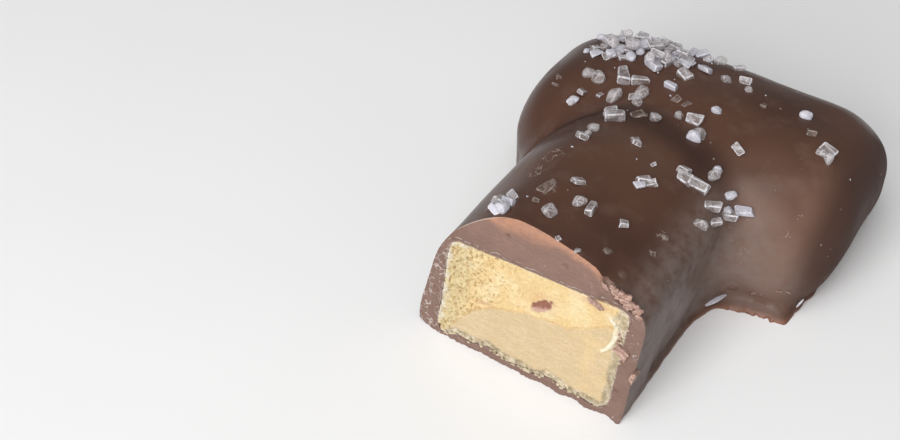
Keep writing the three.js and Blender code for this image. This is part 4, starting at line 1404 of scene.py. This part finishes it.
# the edges' colour is frost, and partly a painted highlight on the rims
SALT_FINISHES = {      # colour of its faces and of its edges, how solid its faces look, roughness
    CLEAR: ((0.47, 0.42, 0.41, 1), (0.80, 0.78, 0.82, 1), 0.30, 0.12),
    FROSTED: ((0.55, 0.53, 0.59, 1), (0.69, 0.68, 0.74, 1), 0.78, 0.35),
    SUNK: ((0.22, 0.16, 0.135, 1), (0.38, 0.31, 0.275, 1), 0.25, 0.15),
}
for kind, bm in salt.items():
    grains = put_in_scene(bm, "salt_" + kind)
    grains.data.materials.append(salt_material(kind, *SALT_FINISHES[kind]))
    shade(grains, 20)
    move_into_frame(grains)
    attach(grains, "root")
    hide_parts("coating")


# ---- Chocolate crumbs --------------------------------------------------------------------------
# Bits that the knife broke off the coat. Some were dragged into the honeycomb and onto the ring,
# and the chipped upper right edge left a heap. Three more stand where the foot's film tore.

FLAT_BIT, ROUND_BIT = 0.4, 0.8      # thickness, in parts of a bit's width
BIT_JITTER = 0.22
BIT_BEVEL = 0.08
CUT_BITS = (    # name, place on the cut, half length and width, thickness, turn in degrees, depth
    ("curl below the ring", (8.3, 15.5), (1.5, 0.5), FLAT_BIT, -14, 0.15),
    ("crumb by the flake", (12.9, 10.7), (1.2, 0.75), ROUND_BIT, -22, 0.1),
    ("crumb on the outer edge", (15.2, 7.7), (0.4, 0.95), ROUND_BIT, -12, 0.35),
    ("tip of the tan edge", (8.7, 18.5), (0.8, 0.3), FLAT_BIT, -30, 0.2),
)
CHIP_HEAPS = (      # name, place on the cut, spread, count, size of a bit
    ("chipped edge", (11.4, 18.2), (2.0, 0.5), 12, 0.85),
    ("chipped corner", (13.7, 17.0), (0.6, 0.9), 7, 0.6),
    ("below the heap", (12.2, 12.4), (0.3, 0.8), 3, 0.4),
)
HEAP_FALL = 0.35        # a heap follows the rim down to the right by this slope
HEAP_DEPTH = 0.1
HEAP_BIT = (0.35, 0.7)          # half a bit's width, at least and at most, in parts of its size
HEAP_BIT_SIDES = (1.3, 0.8, 1)
HEAP_BIT_TURN = 6               # at most, in radians
BITS_SEED = 77


def add_bit(bm, place, sizes, turn, tip, draw, is_block=False):
    """A small broken bit: a lump or a block with uneven corners, squeezed to its sizes."""
    bit = bmesh.new()
    if is_block:
        bmesh.ops.create_cube(bit, size=1.7)
        bmesh.ops.subdivide_edges(bit, edges=bit.edges[:], cuts=1, use_grid_fill=True)
    else:
        bmesh.ops.create_icosphere(bit, subdivisions=2, radius=1)
    for vertex in bit.verts:
        vertex.co *= 1 + (next(draw) * 2 - 1) * BIT_JITTER
    if is_block:
        round_edges(bit, BIT_BEVEL)
    turned = tip @ Matrix.Rotation(turn, 4, "Y")
    matrix = Matrix.Translation(place) @ turned @ Matrix.Diagonal((*sizes, 1))
    bmesh.ops.transform(bit, matrix=matrix, verts=bit.verts)
    merge_into(bm, bit)


def lying_on_cut(x, height, depth):
    """A place on the leaning cut, at a depth behind it, and the cut's own tilt."""
    behind = depth * Vector((0, math.cos(CUT_LEAN), -math.sin(CUT_LEAN)))
    return Vector(on_cut(x, height)) + behind, Matrix.Rotation(-CUT_LEAN, 4, "X")


bits = bmesh.new()
draw = draws_from(BITS_SEED)
for _, spot, (half_length, half_width), thickness, turn, depth in CUT_BITS:
    place, tilt = lying_on_cut(*spot, depth)
    sizes = (half_length, half_width * thickness, half_width)
    add_bit(bits, place, sizes, -math.radians(turn), tilt, draw, thickness == ROUND_BIT)
for _, spot, spread, count, size in CHIP_HEAPS:
    for index in range(count):
        reach = math.sqrt((index + 0.5) / count)
        x = spot[0] + spread[0] * reach * math.cos(index * GOLDEN_ANGLE)
        height = spot[1] + spread[1] * reach * math.sin(index * GOLDEN_ANGLE)
        place, tilt = lying_on_cut(x, height - HEAP_FALL * (x - spot[0]), HEAP_DEPTH)
        half = size * within(HEAP_BIT, next(draw))
        sizes = [half * side for side in HEAP_BIT_SIDES]
        add_bit(bits, place, sizes, next(draw) * HEAP_BIT_TURN, tilt, draw)

FILM_TEARS = (      # on the near side of the right lobe: X and height, half length, turn in degrees
    (20.5, 2.9, 0.65, 40), (23.7, 4.7, 0.55, 18), (24.9, 4.6, 0.45, -12),
)
TEAR_WIDTH, TEAR_THICKNESS = 0.16, 0.08
TEAR_SET_BACK = 0.8     # in parts of the ledge's depth
for x, height, half_length, turn in FILM_TEARS:
    near, far = 15.0, 40.0      # the lobe's near side lies between these
    while far - near > 0.01:
        middle = (near + far) / 2
        near, far = (near, middle) if coat_outside(x, middle, height) < 0 else (middle, far)
    place = Vector((x, near + LEDGE_DEPTH * TEAR_SET_BACK, height))
    sizes = (half_length, TEAR_WIDTH, TEAR_THICKNESS)
    add_bit(bits, place, sizes, -math.radians(turn), Matrix.Identity(4), draw)

chocolate_crumbs = put_in_scene(bits, "chocolate_crumbs")
material, tree, shader, place = new_material("crumbled_milk_chocolate")
fine = from_group(tree, patches, place, size=0.3, detail=3, start=0.35, end=0.65)
grooves = from_group(
    tree, patches, stretched(tree, place, 0.3, 0.6), size=0.35, detail=1, start=0.4, end=0.6
)
colour = layered(
    tree, (0.23, 0.128, 0.100, 1),
    ((0.37, 0.235, 0.190, 1), fine),
    ((0.52, 0.335, 0.265, 1), grooves, 0.6),
)
fill_inputs(tree, shader, {
    "Base Color": colour,
    "Roughness": 0.6,
    "IOR": CHOCOLATE_IOR,
    "Normal": bumped(tree, grooves, 0.12),
})
chocolate_crumbs.data.materials.append(material)
shade(chocolate_crumbs, 35)
move_into_frame(chocolate_crumbs)
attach(chocolate_crumbs, "root")


# ---- Floor, light and camera -------------------------------------------------------------------
# A plain pale floor, soft light from the camera's side, and the camera at the photo's angle.

floor_mesh = bmesh.new()
bmesh.ops.create_grid(floor_mesh, x_segments=1, y_segments=1, size=1.5)
floor = put_in_scene(floor_mesh, "floor")
material, tree, shader, place = new_material("pale_floor")
tone = from_group(tree, patches, place, size=60, detail=2, start=0.2, end=0.8)
fill_inputs(tree, shader, {
    "Base Color": mixed(tree, tone, (0.86, 0.86, 0.86, 1), (0.88, 0.88, 0.88, 1)),
    "Roughness": 0.6,
})
floor.data.materials.append(material)


def soft_light(name, place, size, watts):
    """A square area light that faces the middle of the bar."""
    light = bpy.data.lights.new(name, "AREA")
    light.shape = "SQUARE"
    light.size = size
    light.energy = watts
    lamp = bpy.data.objects.new(name, light)
    lamp.location = place
    lamp.rotation_euler = (Vector((0, 0, 0.01)) - Vector(place)).to_track_quat("-Z", "Y").to_euler()
    bpy.context.scene.collection.objects.link(lamp)


soft_light("overhead", (-0.04, -0.20, 0.60), 0.5, 2.0)
soft_light("front", (0.00, -0.60, 0.25), 0.5, 4.0)

world = bpy.data.worlds.new("studio")
world.use_nodes = True
world.node_tree.nodes["Background"].inputs["Color"].default_value = (1, 1, 1, 1)
world.node_tree.nodes["Background"].inputs["Strength"].default_value = 0.25
bpy.context.scene.world = world
bpy.context.scene.view_settings.view_transform = "Standard"

CAMERA_PLACE = Vector((53.843, -97.150, 135.295))
camera = bpy.data.cameras.new("camera")
camera.lens = 52
camera.sensor_width = 36
camera_object = bpy.data.objects.new("camera", camera)
camera_object.location = (CAMERA_PLACE - ORIGIN) * MM
camera_object.rotation_euler = (math.radians(46), 0, math.radians(33.8))
bpy.context.scene.collection.objects.link(camera_object)
bpy.context.scene.camera = camera_object
